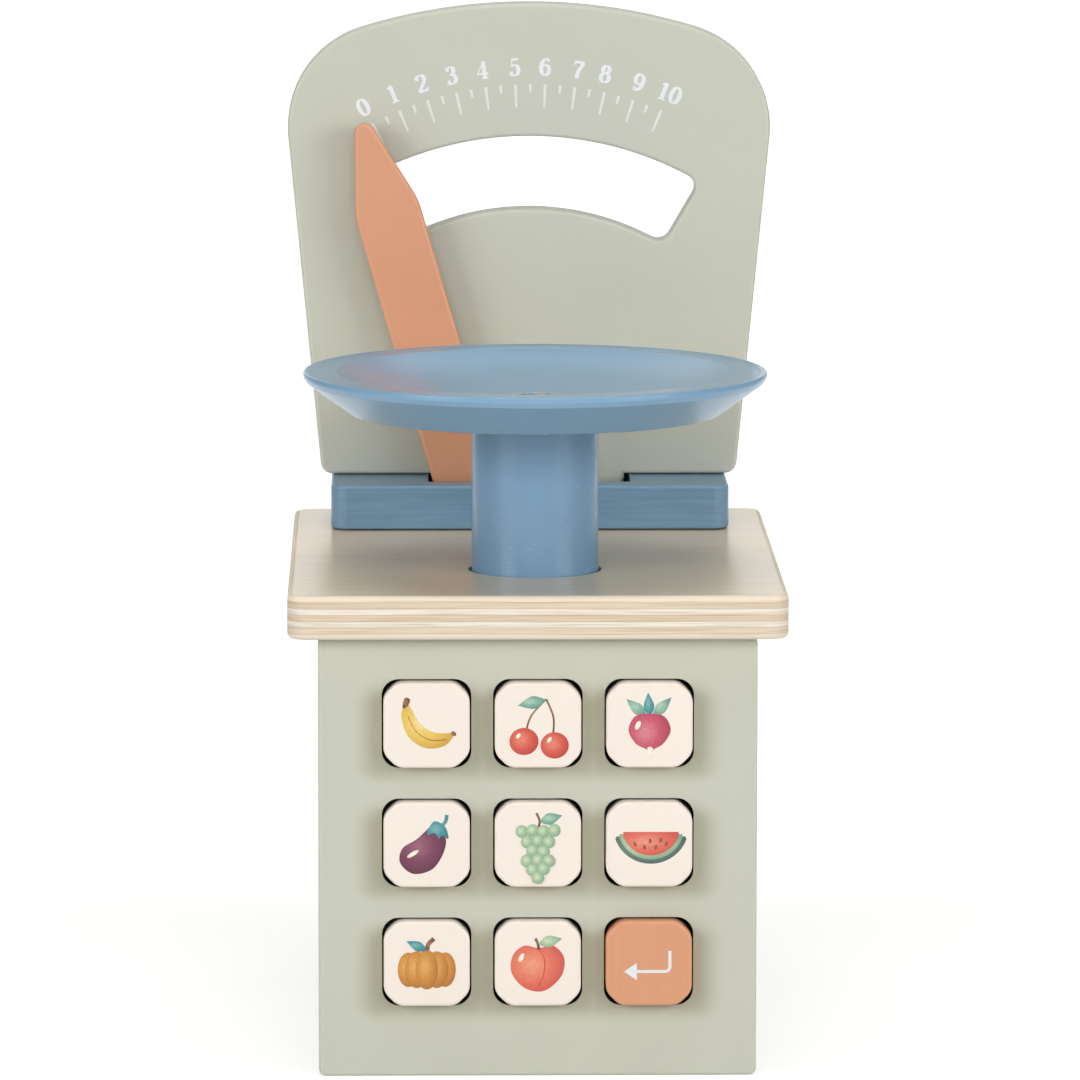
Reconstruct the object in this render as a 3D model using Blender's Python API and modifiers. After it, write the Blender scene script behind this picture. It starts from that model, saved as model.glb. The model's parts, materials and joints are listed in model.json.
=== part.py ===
"""Toy kitchen scale in painted wood, in metres, with +Z up and the keys facing -Y.

A box with nine sprung keys carries a plywood top. A round dish on a column sinks into the box, and a crank
on a cross axle turns the long pointer in front of the dial board.
"""

import math

import bmesh
import bpy
from mathutils import Matrix, Vector

# Box
BOX_WIDTH = 0.109
BOX_DEPTH = 0.150
BOX_HEIGHT = 0.1105
BOX_FRONT_Y = -0.070
WALL = 0.008
GLUE_GAP = 0.0003
BASE_THICK = 0.006
PANEL_EASE = 0.0010
BLOCK_SIDE = 0.010
BLOCK_HEIGHT = 0.020

# Plywood top
TOP_WIDTH = 0.124
TOP_DEPTH = 0.1623
TOP_THICK = 0.011
TOP_CENTRE_Y = 0.00495
TOP_CORNER = 0.005
TOP_EASE = 0.0013

# Dish and column
DISH_Y = -0.0277
DISH_BOTTOM_Z = 0.1616
WELL_FLOOR = 0.0042
WELL_RADIUS = 0.0500
WELL_RISE = 0.0062
DISH_SCREW_Z = 0.0038
COLUMN_RADIUS = 0.016
COLUMN_HOLE_RADIUS = 0.0167
BORE_RADIUS = 0.0049
BORE_TOP_Z = 0.1410

# Bar and dial board
BAR_WIDTH = 0.104
BAR_FRONT_Y = 0.0415
BAR_DEPTH = 0.038
BAR_HEIGHT = 0.0115
SLOT_HALF = 0.0265
SLOT_FRONT_Y = 0.0501
DIAL_FRONT_Y = 0.0636
DIAL_THICK = 0.009
DIAL_TOP_Z = 0.25805
DIAL_SIDE_SLOPE = 0.0960
DIAL_BASE_HALF = 0.0546
TENON_HALF = 0.0251

# Window in the dial board
WINDOW_CENTRE_Z = 0.1345
WINDOW_OUTER = 0.0886
WINDOW_INNER = 0.0696
WINDOW_HALF_ANGLE = 30.4
WINDOW_CORNER = 0.0035

# Pointer drive
PIVOT_Z = 0.0771
REST_ANGLE = -16.3
CRANK_RADIUS = 0.024
CRANK_REST_ANGLE = 14.5
POINTER_LENGTH = 0.1561
POINTER_HALF = 0.0086
HEAD_TAPER = 16.0
SHOULDER_RADIUS = 0.020
TIP_RADIUS = 0.0026
POINTER_THICK = 0.006
POINTER_FRONT_Y = 0.0546
AXLE_RADIUS = 0.003

# Keys
KEY_PITCH_X = 0.0276
KEY_PITCH_Z = 0.0300
KEY_MIDDLE_Z = 0.0591
KEY_SIDE = 0.0214
KEY_CORNER = 0.0056
KEY_HOLE_SIDE = 0.0222
KEY_HOLE_CORNER = 0.0042
KEY_PROUD = 0.0035
KEY_EASE = 0.0008
FLANGE_SIDE = 0.0254
FLANGE_THICK = 0.002
BACKBOARD_FRONT_Y = -0.0550
BACKBOARD_THICK = 0.006
POCKET_RADIUS = 0.0047
POCKET_DEPTH = 0.0035

# Springs: wire radius, coil radius and number of curls
KEY_SPRING = (0.0003, 0.0036, 4)
MAIN_SPRING = (0.0007, 0.0080, 8)
POINTS_PER_CURL = 8

DISH_STEPS = 72
ROUND_STEPS = 48
SMALL_STEPS = 16
DRILL_STEPS = 12

# Heights and depths that follow from the sizes above
TOP_UNDER_Z = BOX_HEIGHT + GLUE_GAP
TOP_Z = TOP_UNDER_Z + TOP_THICK
BAR_UNDER_Z = TOP_Z + GLUE_GAP
BAR_TOP_Z = BAR_UNDER_Z + BAR_HEIGHT
DIAL_UNDER_Z = BAR_TOP_Z + GLUE_GAP
PANEL_BACK_Y = BOX_FRONT_Y + WALL
REAR_FRONT_Y = BOX_FRONT_Y + BOX_DEPTH - WALL
INNER_HALF = BOX_WIDTH / 2 - WALL
PIVOT = Vector((0.0, POINTER_FRONT_Y + POINTER_THICK / 2, PIVOT_Z))

FINISHES = {
    "sage_paint": ((0.560, 0.578, 0.491), 0.45, 0.0),
    "blue_paint": ((0.195, 0.333, 0.479), 0.40, 0.0),
    "orange_paint": ((0.716, 0.361, 0.212), 0.42, 0.0),
    "cream_paint": ((0.905, 0.823, 0.753), 0.50, 0.0),
    "birch_plywood": ((0.730, 0.610, 0.480), 0.45, 0.0),
    "raw_beech": ((0.610, 0.420, 0.260), 0.65, 0.0),
    "zinc_steel": ((0.560, 0.570, 0.580), 0.32, 1.0),
}


def start_empty():
    for piece in list(bpy.data.objects):
        bpy.data.objects.remove(piece, do_unlink=True)
    for kept in list(bpy.data.collections):
        bpy.data.collections.remove(kept)
    for name in ("toy_scale", "cutters"):
        bpy.context.scene.collection.children.link(bpy.data.collections.new(name))


def finish_of(node, finish):
    """A material of its own for the named piece, in one of the finishes."""
    colour, roughness, metallic = FINISHES[finish]
    material = bpy.data.materials.new(f"{node}_{finish}")
    material.use_nodes = True
    shader = material.node_tree.nodes["Principled BSDF"]
    shader.inputs["Base Color"].default_value = (*colour, 1.0)
    shader.inputs["Roughness"].default_value = roughness
    shader.inputs["Metallic"].default_value = metallic
    material.diffuse_color = (*colour, 1.0)
    return material


def add_piece(name, mesh, finish, origin=(0.0, 0.0, 0.0), smooth=True):
    """Puts a mesh made in world coordinates into the scene, with its origin at the given point."""
    mesh.name = name
    mesh.transform(Matrix.Translation(-Vector(origin)))
    mesh.materials.clear()
    mesh.materials.append(finish_of(name, finish))
    piece = bpy.data.objects.new(name, mesh)
    piece.location = origin
    bpy.data.collections["toy_scale"].objects.link(piece)
    if smooth:
        mesh.shade_smooth()
        mesh.set_sharp_from_angle(angle=math.radians(35))
    return piece


def add_cutter(name, mesh):
    return keep_as_cutter(bpy.data.objects.new(name, mesh))


def keep_as_cutter(cutter):
    cutter.hide_render = True
    cutter.display_type = "WIRE"
    bpy.data.collections["cutters"].objects.link(cutter)
    return cutter


def cut(piece, cutter):
    boolean = piece.modifiers.new(cutter.name, "BOOLEAN")
    boolean.operation = "DIFFERENCE"
    boolean.solver = "EXACT"
    boolean.object = cutter


def join(piece, other):
    """Makes the other solid one body with the piece."""
    boolean = piece.modifiers.new(other.name, "BOOLEAN")
    boolean.operation = "UNION"
    boolean.solver = "EXACT"
    boolean.object = other


def ease(piece, width, segments=2):
    """Rounds the arrises of a piece as sanding and paint leave them."""
    bevel = piece.modifiers.new("eased_edges", "BEVEL")
    bevel.width = width
    bevel.segments = segments
    bevel.limit_method = "ANGLE"
    bevel.angle_limit = math.radians(40)
    bevel.use_clamp_overlap = True
    bevel.harden_normals = False


def tidy_mesh(mesh):
    """Welds the caps to the walls and turns every face outwards."""
    work = bmesh.new()
    work.from_mesh(mesh)
    bmesh.ops.remove_doubles(work, verts=work.verts, dist=0.000002)
    bmesh.ops.dissolve_limit(work, angle_limit=0.001, verts=[], edges=work.edges)
    bmesh.ops.recalc_face_normals(work, faces=work.faces)
    work.to_mesh(mesh)
    work.free()


def curve_to_mesh(curve):
    """Turns a curve into the mesh that it draws and takes the curve away."""
    drawing = bpy.data.objects.new("drawing", curve)
    bpy.context.scene.collection.objects.link(drawing)
    bpy.context.view_layer.update()
    drawn = drawing.evaluated_get(bpy.context.evaluated_depsgraph_get())
    mesh = bpy.data.meshes.new_from_object(drawn)
    bpy.data.objects.remove(drawing, do_unlink=True)
    bpy.data.curves.remove(curve)
    tidy_mesh(mesh)
    return mesh


def sheet(loops, thickness, centre, standing=False, eased=0.0, rounds=1):
    """Flat sheet cut to its first loop, with a hole for each other loop and its arrises rounded."""
    curve = bpy.data.curves.new("outline", "CURVE")
    curve.dimensions = "2D"
    curve.fill_mode = "BOTH"
    curve.extrude = thickness / 2 - eased
    curve.bevel_depth = eased
    curve.bevel_resolution = rounds
    curve.offset = -eased
    holes = [loop[::-1] for loop in loops[1:]]
    for loop in [loops[0], *holes]:
        spline = curve.splines.new("POLY")
        spline.points.add(len(loop) - 1)
        for point, (across, along) in zip(spline.points, loop):
            point.co = (across, along, 0.0, 1.0)
        spline.use_cyclic_u = True
    mesh = curve_to_mesh(curve)
    if standing:
        mesh.transform(Matrix.Rotation(math.radians(90), 4, "X"))
    mesh.transform(Matrix.Translation(centre))
    return mesh


def arc(centre, radius, start, end, steps):
    """Points on an arc, with angles in degrees counted from +X towards the second axis."""
    points = []
    for step in range(steps + 1):
        angle = math.radians(start + (end - start) * step / steps)
        points.append((centre[0] + radius * math.cos(angle), centre[1] + radius * math.sin(angle)))
    return points


def circle(centre, radius, steps=SMALL_STEPS):
    return arc(centre, radius, 0, 360, steps)[:-1]


def rounded_box(centre, width, height, corner, steps=4):
    """Outline of a rectangle with rounded corners."""
    right = centre[0] + width / 2 - corner
    left = centre[0] - width / 2 + corner
    top = centre[1] + height / 2 - corner
    bottom = centre[1] - height / 2 + corner
    outline = arc((right, top), corner, 0, 90, steps)
    outline += arc((left, top), corner, 90, 180, steps)
    outline += arc((left, bottom), corner, 180, 270, steps)
    outline += arc((right, bottom), corner, 270, 360, steps)
    return outline


def capsule(first, second, radius, steps=8):
    """Outline with two round ends about the two points."""
    lean = math.degrees(math.atan2(second[1] - first[1], second[0] - first[0]))
    outline = arc(second, radius, lean - 90, lean + 90, steps)
    outline += arc(first, radius, lean + 90, lean + 270, steps)
    return outline


def turn_on_lathe(name, profile, steps):
    """Object with a lathe profile and the screw modifier that turns it about its own Z axis."""
    mesh = bpy.data.meshes.new(name)
    closed = profile[0] == profile[-1]
    points = profile[:-1] if closed else profile
    edges = [(index, index + 1) for index in range(len(points) - 1)]
    if closed:
        edges.append((len(points) - 1, 0))
    mesh.from_pydata([(radius, 0.0, height) for radius, height in points], edges, [])
    piece = bpy.data.objects.new(name, mesh)
    screw = piece.modifiers.new("lathe", "SCREW")
    screw.steps = steps
    screw.render_steps = steps
    screw.use_merge_vertices = True
    screw.merge_threshold = 0.00001
    screw.use_smooth_shade = True
    return piece


def add_turned(name, profile, finish, origin, steps=ROUND_STEPS, along_y=False):
    """Turned piece about the vertical through its origin, or about Y if it lies along it."""
    piece = turn_on_lathe(name, profile, steps)
    piece.data.materials.append(finish_of(name, finish))
    piece.location = origin
    if along_y:
        piece.rotation_euler = (math.radians(90), 0.0, 0.0)
    bpy.data.collections["toy_scale"].objects.link(piece)
    return piece


def box_mesh(low, high):
    """Box between two opposite corners."""
    work = bmesh.new()
    bmesh.ops.create_cube(work, size=1.0)
    size = [far - near for near, far in zip(low, high)]
    middle = [(far + near) / 2 for near, far in zip(low, high)]
    bmesh.ops.scale(work, vec=size, verts=work.verts)
    bmesh.ops.translate(work, vec=middle, verts=work.verts)
    mesh = bpy.data.meshes.new("box")
    work.to_mesh(mesh)
    work.free()
    return mesh


def rods_mesh(rods):
    """Closed rods for drilling: each has two end points and a radius at each end."""
    work = bmesh.new()
    for start, end, start_radius, end_radius in rods:
        start, end = Vector(start), Vector(end)
        turn = (end - start).to_track_quat("Z", "Y").to_matrix().to_4x4()
        bmesh.ops.create_cone(
            work,
            cap_ends=True,
            segments=DRILL_STEPS,
            radius1=start_radius,
            radius2=end_radius,
            depth=(end - start).length,
            matrix=Matrix.Translation((start + end) / 2) @ turn,
        )
    mesh = bpy.data.meshes.new("rods")
    work.to_mesh(mesh)
    work.free()
    return mesh


def coil_points(coil_radius, curls, length):
    """Points of a helix about Z that starts at height 0."""
    count = curls * POINTS_PER_CURL
    points = []
    for step in range(count + 1):
        angle = 2 * math.pi * step / POINTS_PER_CURL
        height = length * step / count
        points.append((coil_radius * math.cos(angle), coil_radius * math.sin(angle), height))
    return points


def least_curl_gap(points, wire_radius):
    """Least free space between one curl and the next."""
    gap = math.inf
    for index, here in enumerate(points[:-POINTS_PER_CURL]):
        for there in points[index + POINTS_PER_CURL // 2 + 1 :]:
            gap = min(gap, math.dist(here, there) - 2 * wire_radius)
    return gap


def spring(name, sizes, start, end, origin):
    """Coil spring of zinc plated wire that just fills the space between two points."""
    wire_radius, coil_radius, curls = sizes
    start, end = Vector(start), Vector(end)
    free_length = (end - start).length - 2 * wire_radius
    points = coil_points(coil_radius, curls, free_length)
    gap = least_curl_gap(points, wire_radius)
    print(f"{name}: least gap between curls {gap * 1000:.2f} mm")
    curve = bpy.data.curves.new(name, "CURVE")
    curve.dimensions = "3D"
    curve.bevel_depth = wire_radius
    curve.bevel_resolution = 1
    curve.use_fill_caps = True
    spline = curve.splines.new("POLY")
    spline.points.add(len(points) - 1)
    for point, place in zip(spline.points, points):
        point.co = (*place, 1.0)
    mesh = curve_to_mesh(curve)
    turn = (end - start).to_track_quat("Z", "Y").to_matrix().to_4x4()
    lift = Matrix.Translation(start + (end - start).normalized() * wire_radius)
    mesh.transform(lift @ turn)
    return add_piece(name, mesh, "zinc_steel", origin)


def screw_profile(head_radius, head_height, shank_radius, length):
    """Countersunk wood screw with its head's flat face at height 0 and its tip below."""
    return [
        (0.0, 0.0),
        (head_radius, 0.0),
        (head_radius, -0.0004),
        (shank_radius, -head_height),
        (shank_radius, 0.0025 - length),
        (0.0003, -length),
        (0.0, -length),
    ]


def add_screw(name, place, length, pointing_up, head_radius=0.0031, shank_radius=0.0014):
    """Screw with a cross recess, driven upwards or downwards from its head."""
    piece = add_turned(
        name,
        screw_profile(head_radius, 0.0022, shank_radius, length),
        "zinc_steel",
        place,
        DRILL_STEPS,
    )
    if pointing_up:
        piece.rotation_euler = (math.pi, 0.0, 0.0)
    arm, half = 0.0017, 0.00032
    depth = 0.0012
    cross = bmesh.new()
    for size in ((2 * arm, 2 * half), (2 * half, 2 * arm)):
        made = bmesh.ops.create_cube(cross, size=1.0)["verts"]
        bmesh.ops.scale(cross, vec=(size[0], size[1], 2 * depth), verts=made)
    mesh = bpy.data.meshes.new(f"{name}_cross")
    cross.to_mesh(mesh)
    cross.free()
    cutter = add_cutter(f"{name}_cross", mesh)
    cutter.location = place
    boolean = piece.modifiers.new("cross_recess", "BOOLEAN")
    boolean.operation = "DIFFERENCE"
    boolean.solver = "EXACT"
    boolean.use_self = True
    boolean.object = cutter
    return piece


def key_centres():
    """Middle of each key, row by row from the top left."""
    for row in (1, 0, -1):
        for column in (-1, 0, 1):
            yield column * KEY_PITCH_X, KEY_MIDDLE_Z + row * KEY_PITCH_Z


def make_box():
    """The painted box: four walls, a base with corner blocks and screws, and the plywood top."""
    middle_z = BOX_HEIGHT / 2
    outline = rounded_box((0.0, middle_z), BOX_WIDTH, BOX_HEIGHT, 0.0018)
    holes = [
        rounded_box(centre, KEY_HOLE_SIDE, KEY_HOLE_SIDE, KEY_HOLE_CORNER)
        for centre in key_centres()
    ]
    mesh = sheet([outline, *holes], WALL, (0.0, BOX_FRONT_Y + WALL / 2, 0.0), True, PANEL_EASE)
    add_piece("front_panel", mesh, "sage_paint")

    side_front = PANEL_BACK_Y + GLUE_GAP
    side_back = REAR_FRONT_Y - GLUE_GAP
    for name, side in (("left_panel", -1), ("right_panel", 1)):
        edges = sorted((side * INNER_HALF, side * BOX_WIDTH / 2))
        mesh = box_mesh((edges[0], side_front, 0.0), (edges[1], side_back, BOX_HEIGHT))
        ease(add_piece(name, mesh, "sage_paint"), 0.0005)

    outline = rounded_box((0.0, middle_z), BOX_WIDTH, BOX_HEIGHT, 0.0018)
    mesh = sheet([outline], WALL, (0.0, REAR_FRONT_Y + WALL / 2, 0.0), True, PANEL_EASE)
    rear = add_piece("rear_panel", mesh, "sage_paint")
    start = (0.0, REAR_FRONT_Y - 0.002, PIVOT_Z)
    end = (0.0, REAR_FRONT_Y + 0.006, PIVOT_Z)
    cut(rear, add_cutter("rear_bearing", rods_mesh([(start, end, 0.0033, 0.0033)])))

    make_base(side_front, side_back)
    make_top()


def corner_places():
    """Middles of the four corner blocks, which stand behind the key board and before the rear panel."""
    reach = INNER_HALF - GLUE_GAP - BLOCK_SIDE / 2
    front = BACKBOARD_FRONT_Y + BACKBOARD_THICK + GLUE_GAP + BLOCK_SIDE / 2
    back = REAR_FRONT_Y - GLUE_GAP - BLOCK_SIDE / 2
    return [(-reach, front), (reach, front), (-reach, back), (reach, back)]


def make_base(side_front, side_back):
    inside = INNER_HALF - GLUE_GAP
    mesh = box_mesh((-inside, side_front, 0.0), (inside, side_back, BASE_THICK))
    base = add_piece("base_plate", mesh, "raw_beech")
    # Each hole is drilled through and countersunk from below for the screw's head.
    sunk_hole = [
        (0.0, BASE_THICK + 0.002),
        (0.0018, BASE_THICK + 0.002),
        (0.0018, 0.0029),
        (0.0038, 0.0006),
        (0.0038, -0.002),
        (0.0, -0.002),
    ]
    for number, (across, along) in enumerate(corner_places(), start=1):
        cutter = turn_on_lathe(f"base_sunk_hole_{number}", sunk_hole, SMALL_STEPS)
        cutter.location = (across, along, 0.0)
        cut(base, keep_as_cutter(cutter))
    socket = [((0.0, DISH_Y, 0.003), (0.0, DISH_Y, 0.010), 0.0107, 0.0107)]
    cut(base, add_cutter("post_socket", rods_mesh(socket)))

    for number, (across, along) in enumerate(corner_places(), start=1):
        low = (across - BLOCK_SIDE / 2, along - BLOCK_SIDE / 2, BASE_THICK + GLUE_GAP)
        high = (across + BLOCK_SIDE / 2, along + BLOCK_SIDE / 2, BASE_THICK + GLUE_GAP + BLOCK_HEIGHT)
        block = add_piece(f"corner_block_{number}", box_mesh(low, high), "raw_beech")
        pilot = rods_mesh([((across, along, 0.003), (across, along, 0.0195), 0.0017, 0.0017)])
        cut(block, add_cutter(f"block_pilot_{number}", pilot))
        add_screw(f"base_screw_{number}", (across, along, 0.0005), 0.0175, pointing_up=True)


def bar_screw_places():
    return [(-0.040, 0.060), (0.040, 0.060)]


def make_top():
    """Plywood top with the column's hole, the pointer's slot and two screw holes."""
    outline = rounded_box((0.0, TOP_CENTRE_Y), TOP_WIDTH, TOP_DEPTH, TOP_CORNER, 6)
    slot_depth = DIAL_FRONT_Y - SLOT_FRONT_Y
    slot = rounded_box((0.0, SLOT_FRONT_Y + slot_depth / 2), 2 * SLOT_HALF, slot_depth, 0.002)
    holes = [circle((0.0, DISH_Y), COLUMN_HOLE_RADIUS, ROUND_STEPS), slot]
    holes += [circle(place, 0.0020, DRILL_STEPS) for place in bar_screw_places()]
    mesh = sheet([outline, *holes], TOP_THICK, (0.0, 0.0, TOP_UNDER_Z + TOP_THICK / 2), False, TOP_EASE)
    add_piece("top_board", mesh, "birch_plywood")


def dial_outline():
    """Outline of the dial board: straight leaning sides, a domed head and a tenon below."""
    corner_radius, head_radius = 0.0272, 0.1500
    head = (0.0, DIAL_TOP_Z - head_radius)
    base = DIAL_UNDER_Z
    lean = math.atan(DIAL_SIDE_SLOPE)
    # The corner circle touches the side line and the head circle from inside.
    offset = DIAL_BASE_HALF - corner_radius / math.cos(lean)
    reach = head_radius - corner_radius
    rise = head[1] - base
    a = 1 + DIAL_SIDE_SLOPE**2
    b = 2 * (DIAL_SIDE_SLOPE * offset - rise)
    c = rise**2 + offset**2 - reach**2
    height = (-b + math.sqrt(b * b - 4 * a * c)) / (2 * a)
    corner = (offset + DIAL_SIDE_SLOPE * height, base + height)
    side_turn = -math.degrees(lean)
    head_turn = math.degrees(math.atan2(corner[1] - head[1], corner[0] - head[0]))
    foot_radius = 0.0032
    foot_across = DIAL_BASE_HALF + DIAL_SIDE_SLOPE * foot_radius - foot_radius / math.cos(lean)
    foot = (foot_across, base + foot_radius)
    right = arc(foot, foot_radius, -90, side_turn, 4)
    right += arc(corner, corner_radius, side_turn, head_turn, 10)
    right += arc(head, head_radius, head_turn, 90, 8)[1:]
    left = [(-across, height) for across, height in reversed(right[:-1])]
    tenon = [
        (-TENON_HALF, base),
        (-TENON_HALF, BAR_UNDER_Z),
        (TENON_HALF, BAR_UNDER_Z),
        (TENON_HALF, base),
    ]
    return right + left + tenon


def window_outline():
    """Ring segment with rounded corners, seen as the window over the pointer's sweep."""
    centre = (0.0, WINDOW_CENTRE_Z)
    places = (
        (WINDOW_OUTER, 1, -1),
        (WINDOW_OUTER, -1, -1),
        (WINDOW_INNER, -1, 1),
        (WINDOW_INNER, 1, 1),
    )
    angles = []
    corners = []
    for ring, side, bend in places:
        away = ring + bend * WINDOW_CORNER
        inset = math.degrees(math.asin(WINDOW_CORNER / away))
        angle = 90 - side * (WINDOW_HALF_ANGLE - inset)
        turned = math.radians(angle)
        middle = (away * math.cos(turned), WINDOW_CENTRE_Z + away * math.sin(turned))
        end_way = angle - side * 90
        ring_way = angle if bend < 0 else angle + 180
        sweep = (ring_way - end_way + 180) % 360 - 180
        corner = arc(middle, WINDOW_CORNER, end_way, end_way + sweep, 4)
        # The outline arrives at these two corners along the ring and not along the window's end.
        if side == bend:
            corner.reverse()
        angles.append(angle)
        corners.append(corner)
    outer = arc(centre, WINDOW_OUTER, angles[0], angles[1], 20)[1:-1]
    inner = arc(centre, WINDOW_INNER, angles[2], angles[3], 20)[1:-1]
    return corners[0] + outer + corners[1] + corners[2] + inner + corners[3]


def make_dial():
    """The blue bar with its slot, its screws, and the dial board that stands in it."""
    middle_y = BAR_FRONT_Y + BAR_DEPTH / 2
    outline = rounded_box((0.0, middle_y), BAR_WIDTH, BAR_DEPTH, 0.0045)
    slot_back = DIAL_FRONT_Y + DIAL_THICK + GLUE_GAP
    slot_depth = slot_back - SLOT_FRONT_Y
    slot = rounded_box((0.0, SLOT_FRONT_Y + slot_depth / 2), 2 * SLOT_HALF, slot_depth, 0.0006, 2)
    mesh = sheet([outline, slot], BAR_HEIGHT, (0.0, 0.0, BAR_UNDER_Z + BAR_HEIGHT / 2), False, 0.0009)
    bar = add_piece("slot_bar", mesh, "blue_paint")
    pilots = [
        ((across, along, BAR_UNDER_Z - 0.002), (across, along, BAR_UNDER_Z + 0.0085), 0.0017, 0.0017)
        for across, along in bar_screw_places()
    ]
    cut(bar, add_cutter("bar_pilots", rods_mesh(pilots)))
    for number, (across, along) in enumerate(bar_screw_places(), start=1):
        head_z = TOP_UNDER_Z - 0.0022
        add_screw(f"bar_screw_{number}", (across, along, head_z), 0.0205, pointing_up=True)

    middle_y = DIAL_FRONT_Y + DIAL_THICK / 2
    mesh = sheet([dial_outline(), window_outline()], DIAL_THICK, (0.0, middle_y, 0.0), True, 0.0011)
    add_piece("dial_board", mesh, "sage_paint")


def dish_profile():
    """Closed lathe profile of the shallow dish, with heights counted from its underside."""
    rim = [(0.0563, 0.0106), (0.0574, 0.0106), (0.0581, 0.0103), (0.0584, 0.0097)]
    lower_rim = [(0.0583, 0.0088), (0.0578, 0.0080), (0.0572, 0.0073)]
    underside = [(0.0476, 0.0006), (0.0460, 0.0), (0.0023, 0.0)]
    recess = [(0.0023, 0.0018), (0.0052, 0.0018)]
    # The well is almost flat in the middle and steepens towards the level ring inside the rim.
    well = []
    for radius in (0.0052, 0.0120, 0.0200, 0.0280, 0.0350, 0.0410, 0.0460, WELL_RADIUS):
        well.append((radius, WELL_FLOOR + WELL_RISE * (radius / WELL_RADIUS) ** 3))
    return rim + lower_rim + underside + recess + well + rim[:1]


def make_dish():
    """Everything that sinks with the dish: column, foot plate, fork and the screw in the dish."""
    axis = (0.0, DISH_Y, 0.0)
    add_turned("dish", dish_profile(), "blue_paint", (0.0, DISH_Y, DISH_BOTTOM_Z), DISH_STEPS)

    # The column is drilled from both ends, and the wood between the two holes meets the axis.
    top, bottom = DISH_BOTTOM_Z - GLUE_GAP, TOP_UNDER_Z
    column = [
        (0.0, top - 0.0150),
        (0.0017, top - 0.0140),
        (0.0017, top),
        (COLUMN_RADIUS - 0.0005, top),
        (COLUMN_RADIUS, top - 0.0005),
        (COLUMN_RADIUS, bottom + 0.0005),
        (COLUMN_RADIUS - 0.0005, bottom),
        (BORE_RADIUS, bottom),
        (BORE_RADIUS, BORE_TOP_Z),
        (0.0, BORE_TOP_Z + 0.0015),
    ]
    add_turned("dish_column", column, "blue_paint", axis, ROUND_STEPS)

    head_place = (0.0, DISH_Y, DISH_BOTTOM_Z + DISH_SCREW_Z)
    add_screw("dish_screw", head_place, 0.0160, pointing_up=False, head_radius=0.0042)

    plate_z = TOP_UNDER_Z - GLUE_GAP - 0.002
    outline = rounded_box((0.006, DISH_Y), 0.052, 0.0346, 0.004)
    hole = circle((0.0, DISH_Y), BORE_RADIUS + 0.0002)
    mesh = sheet([outline, hole], 0.004, (0.0, 0.0, plate_z), False, 0.0006, 0)
    add_piece("foot_plate", mesh, "raw_beech", axis)

    # The fork's slot holds the crank pin level with it.
    pin_z = PIVOT_Z + CRANK_RADIUS * math.sin(math.radians(CRANK_REST_ANGLE))
    pin_x = CRANK_RADIUS * math.cos(math.radians(CRANK_REST_ANGLE))
    fork_top = plate_z - 0.002 - GLUE_GAP
    fork_bottom = pin_z - 0.0065
    fork_middle = (fork_top + fork_bottom) / 2
    outline = rounded_box((0.0240, fork_middle), 0.0140, fork_top - fork_bottom, 0.0025)
    slot = capsule((pin_x - 0.0006, pin_z), (pin_x + 0.0016, pin_z), 0.00195)
    mesh = sheet([outline, slot], 0.004, (0.0, -0.0140, 0.0), True, 0.0005, 0)
    add_piece("drive_fork", mesh, "raw_beech", axis)

    spring_floor = (0.0, DISH_Y, 0.0660 + GLUE_GAP)
    spring_top = (0.0, DISH_Y, plate_z - 0.002 - GLUE_GAP)
    spring("main_spring", MAIN_SPRING, spring_floor, spring_top, axis)


def make_guide_post():
    """Stepped post on the base: the column's bore slides down it and the spring sits on its shoulder."""
    profile = [
        (0.0, 0.1265),
        (0.0036, 0.1265),
        (0.0046, 0.1255),
        (0.0046, 0.0660),
        (0.0095, 0.0660),
        (0.0100, 0.0655),
        (0.0100, 0.0033),
        (0.0, 0.0033),
    ]
    add_turned("guide_post", profile, "raw_beech", (0.0, DISH_Y, 0.0), 24)


def pointer_outline():
    """Straight arm with a round foot, soft shoulders and a head that tapers to a small round tip."""
    taper = math.radians(HEAD_TAPER)
    tip_middle = POINTER_LENGTH - TIP_RADIUS
    # The tapering sides would meet here if the tip were sharp.
    peak = tip_middle + TIP_RADIUS / math.sin(taper)
    shoulder = peak - POINTER_HALF / math.tan(taper)
    bend_start = shoulder - SHOULDER_RADIUS * math.tan(taper / 2)
    right = arc((0.0, 0.0), POINTER_HALF, -90, 0, 6)
    right += arc((POINTER_HALF - SHOULDER_RADIUS, bend_start), SHOULDER_RADIUS, 0, HEAD_TAPER, 4)
    right += arc((0.0, tip_middle), TIP_RADIUS, HEAD_TAPER, 90, 5)
    left = [(-across, along) for across, along in reversed(right[1:-1])]
    return right + left


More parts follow.
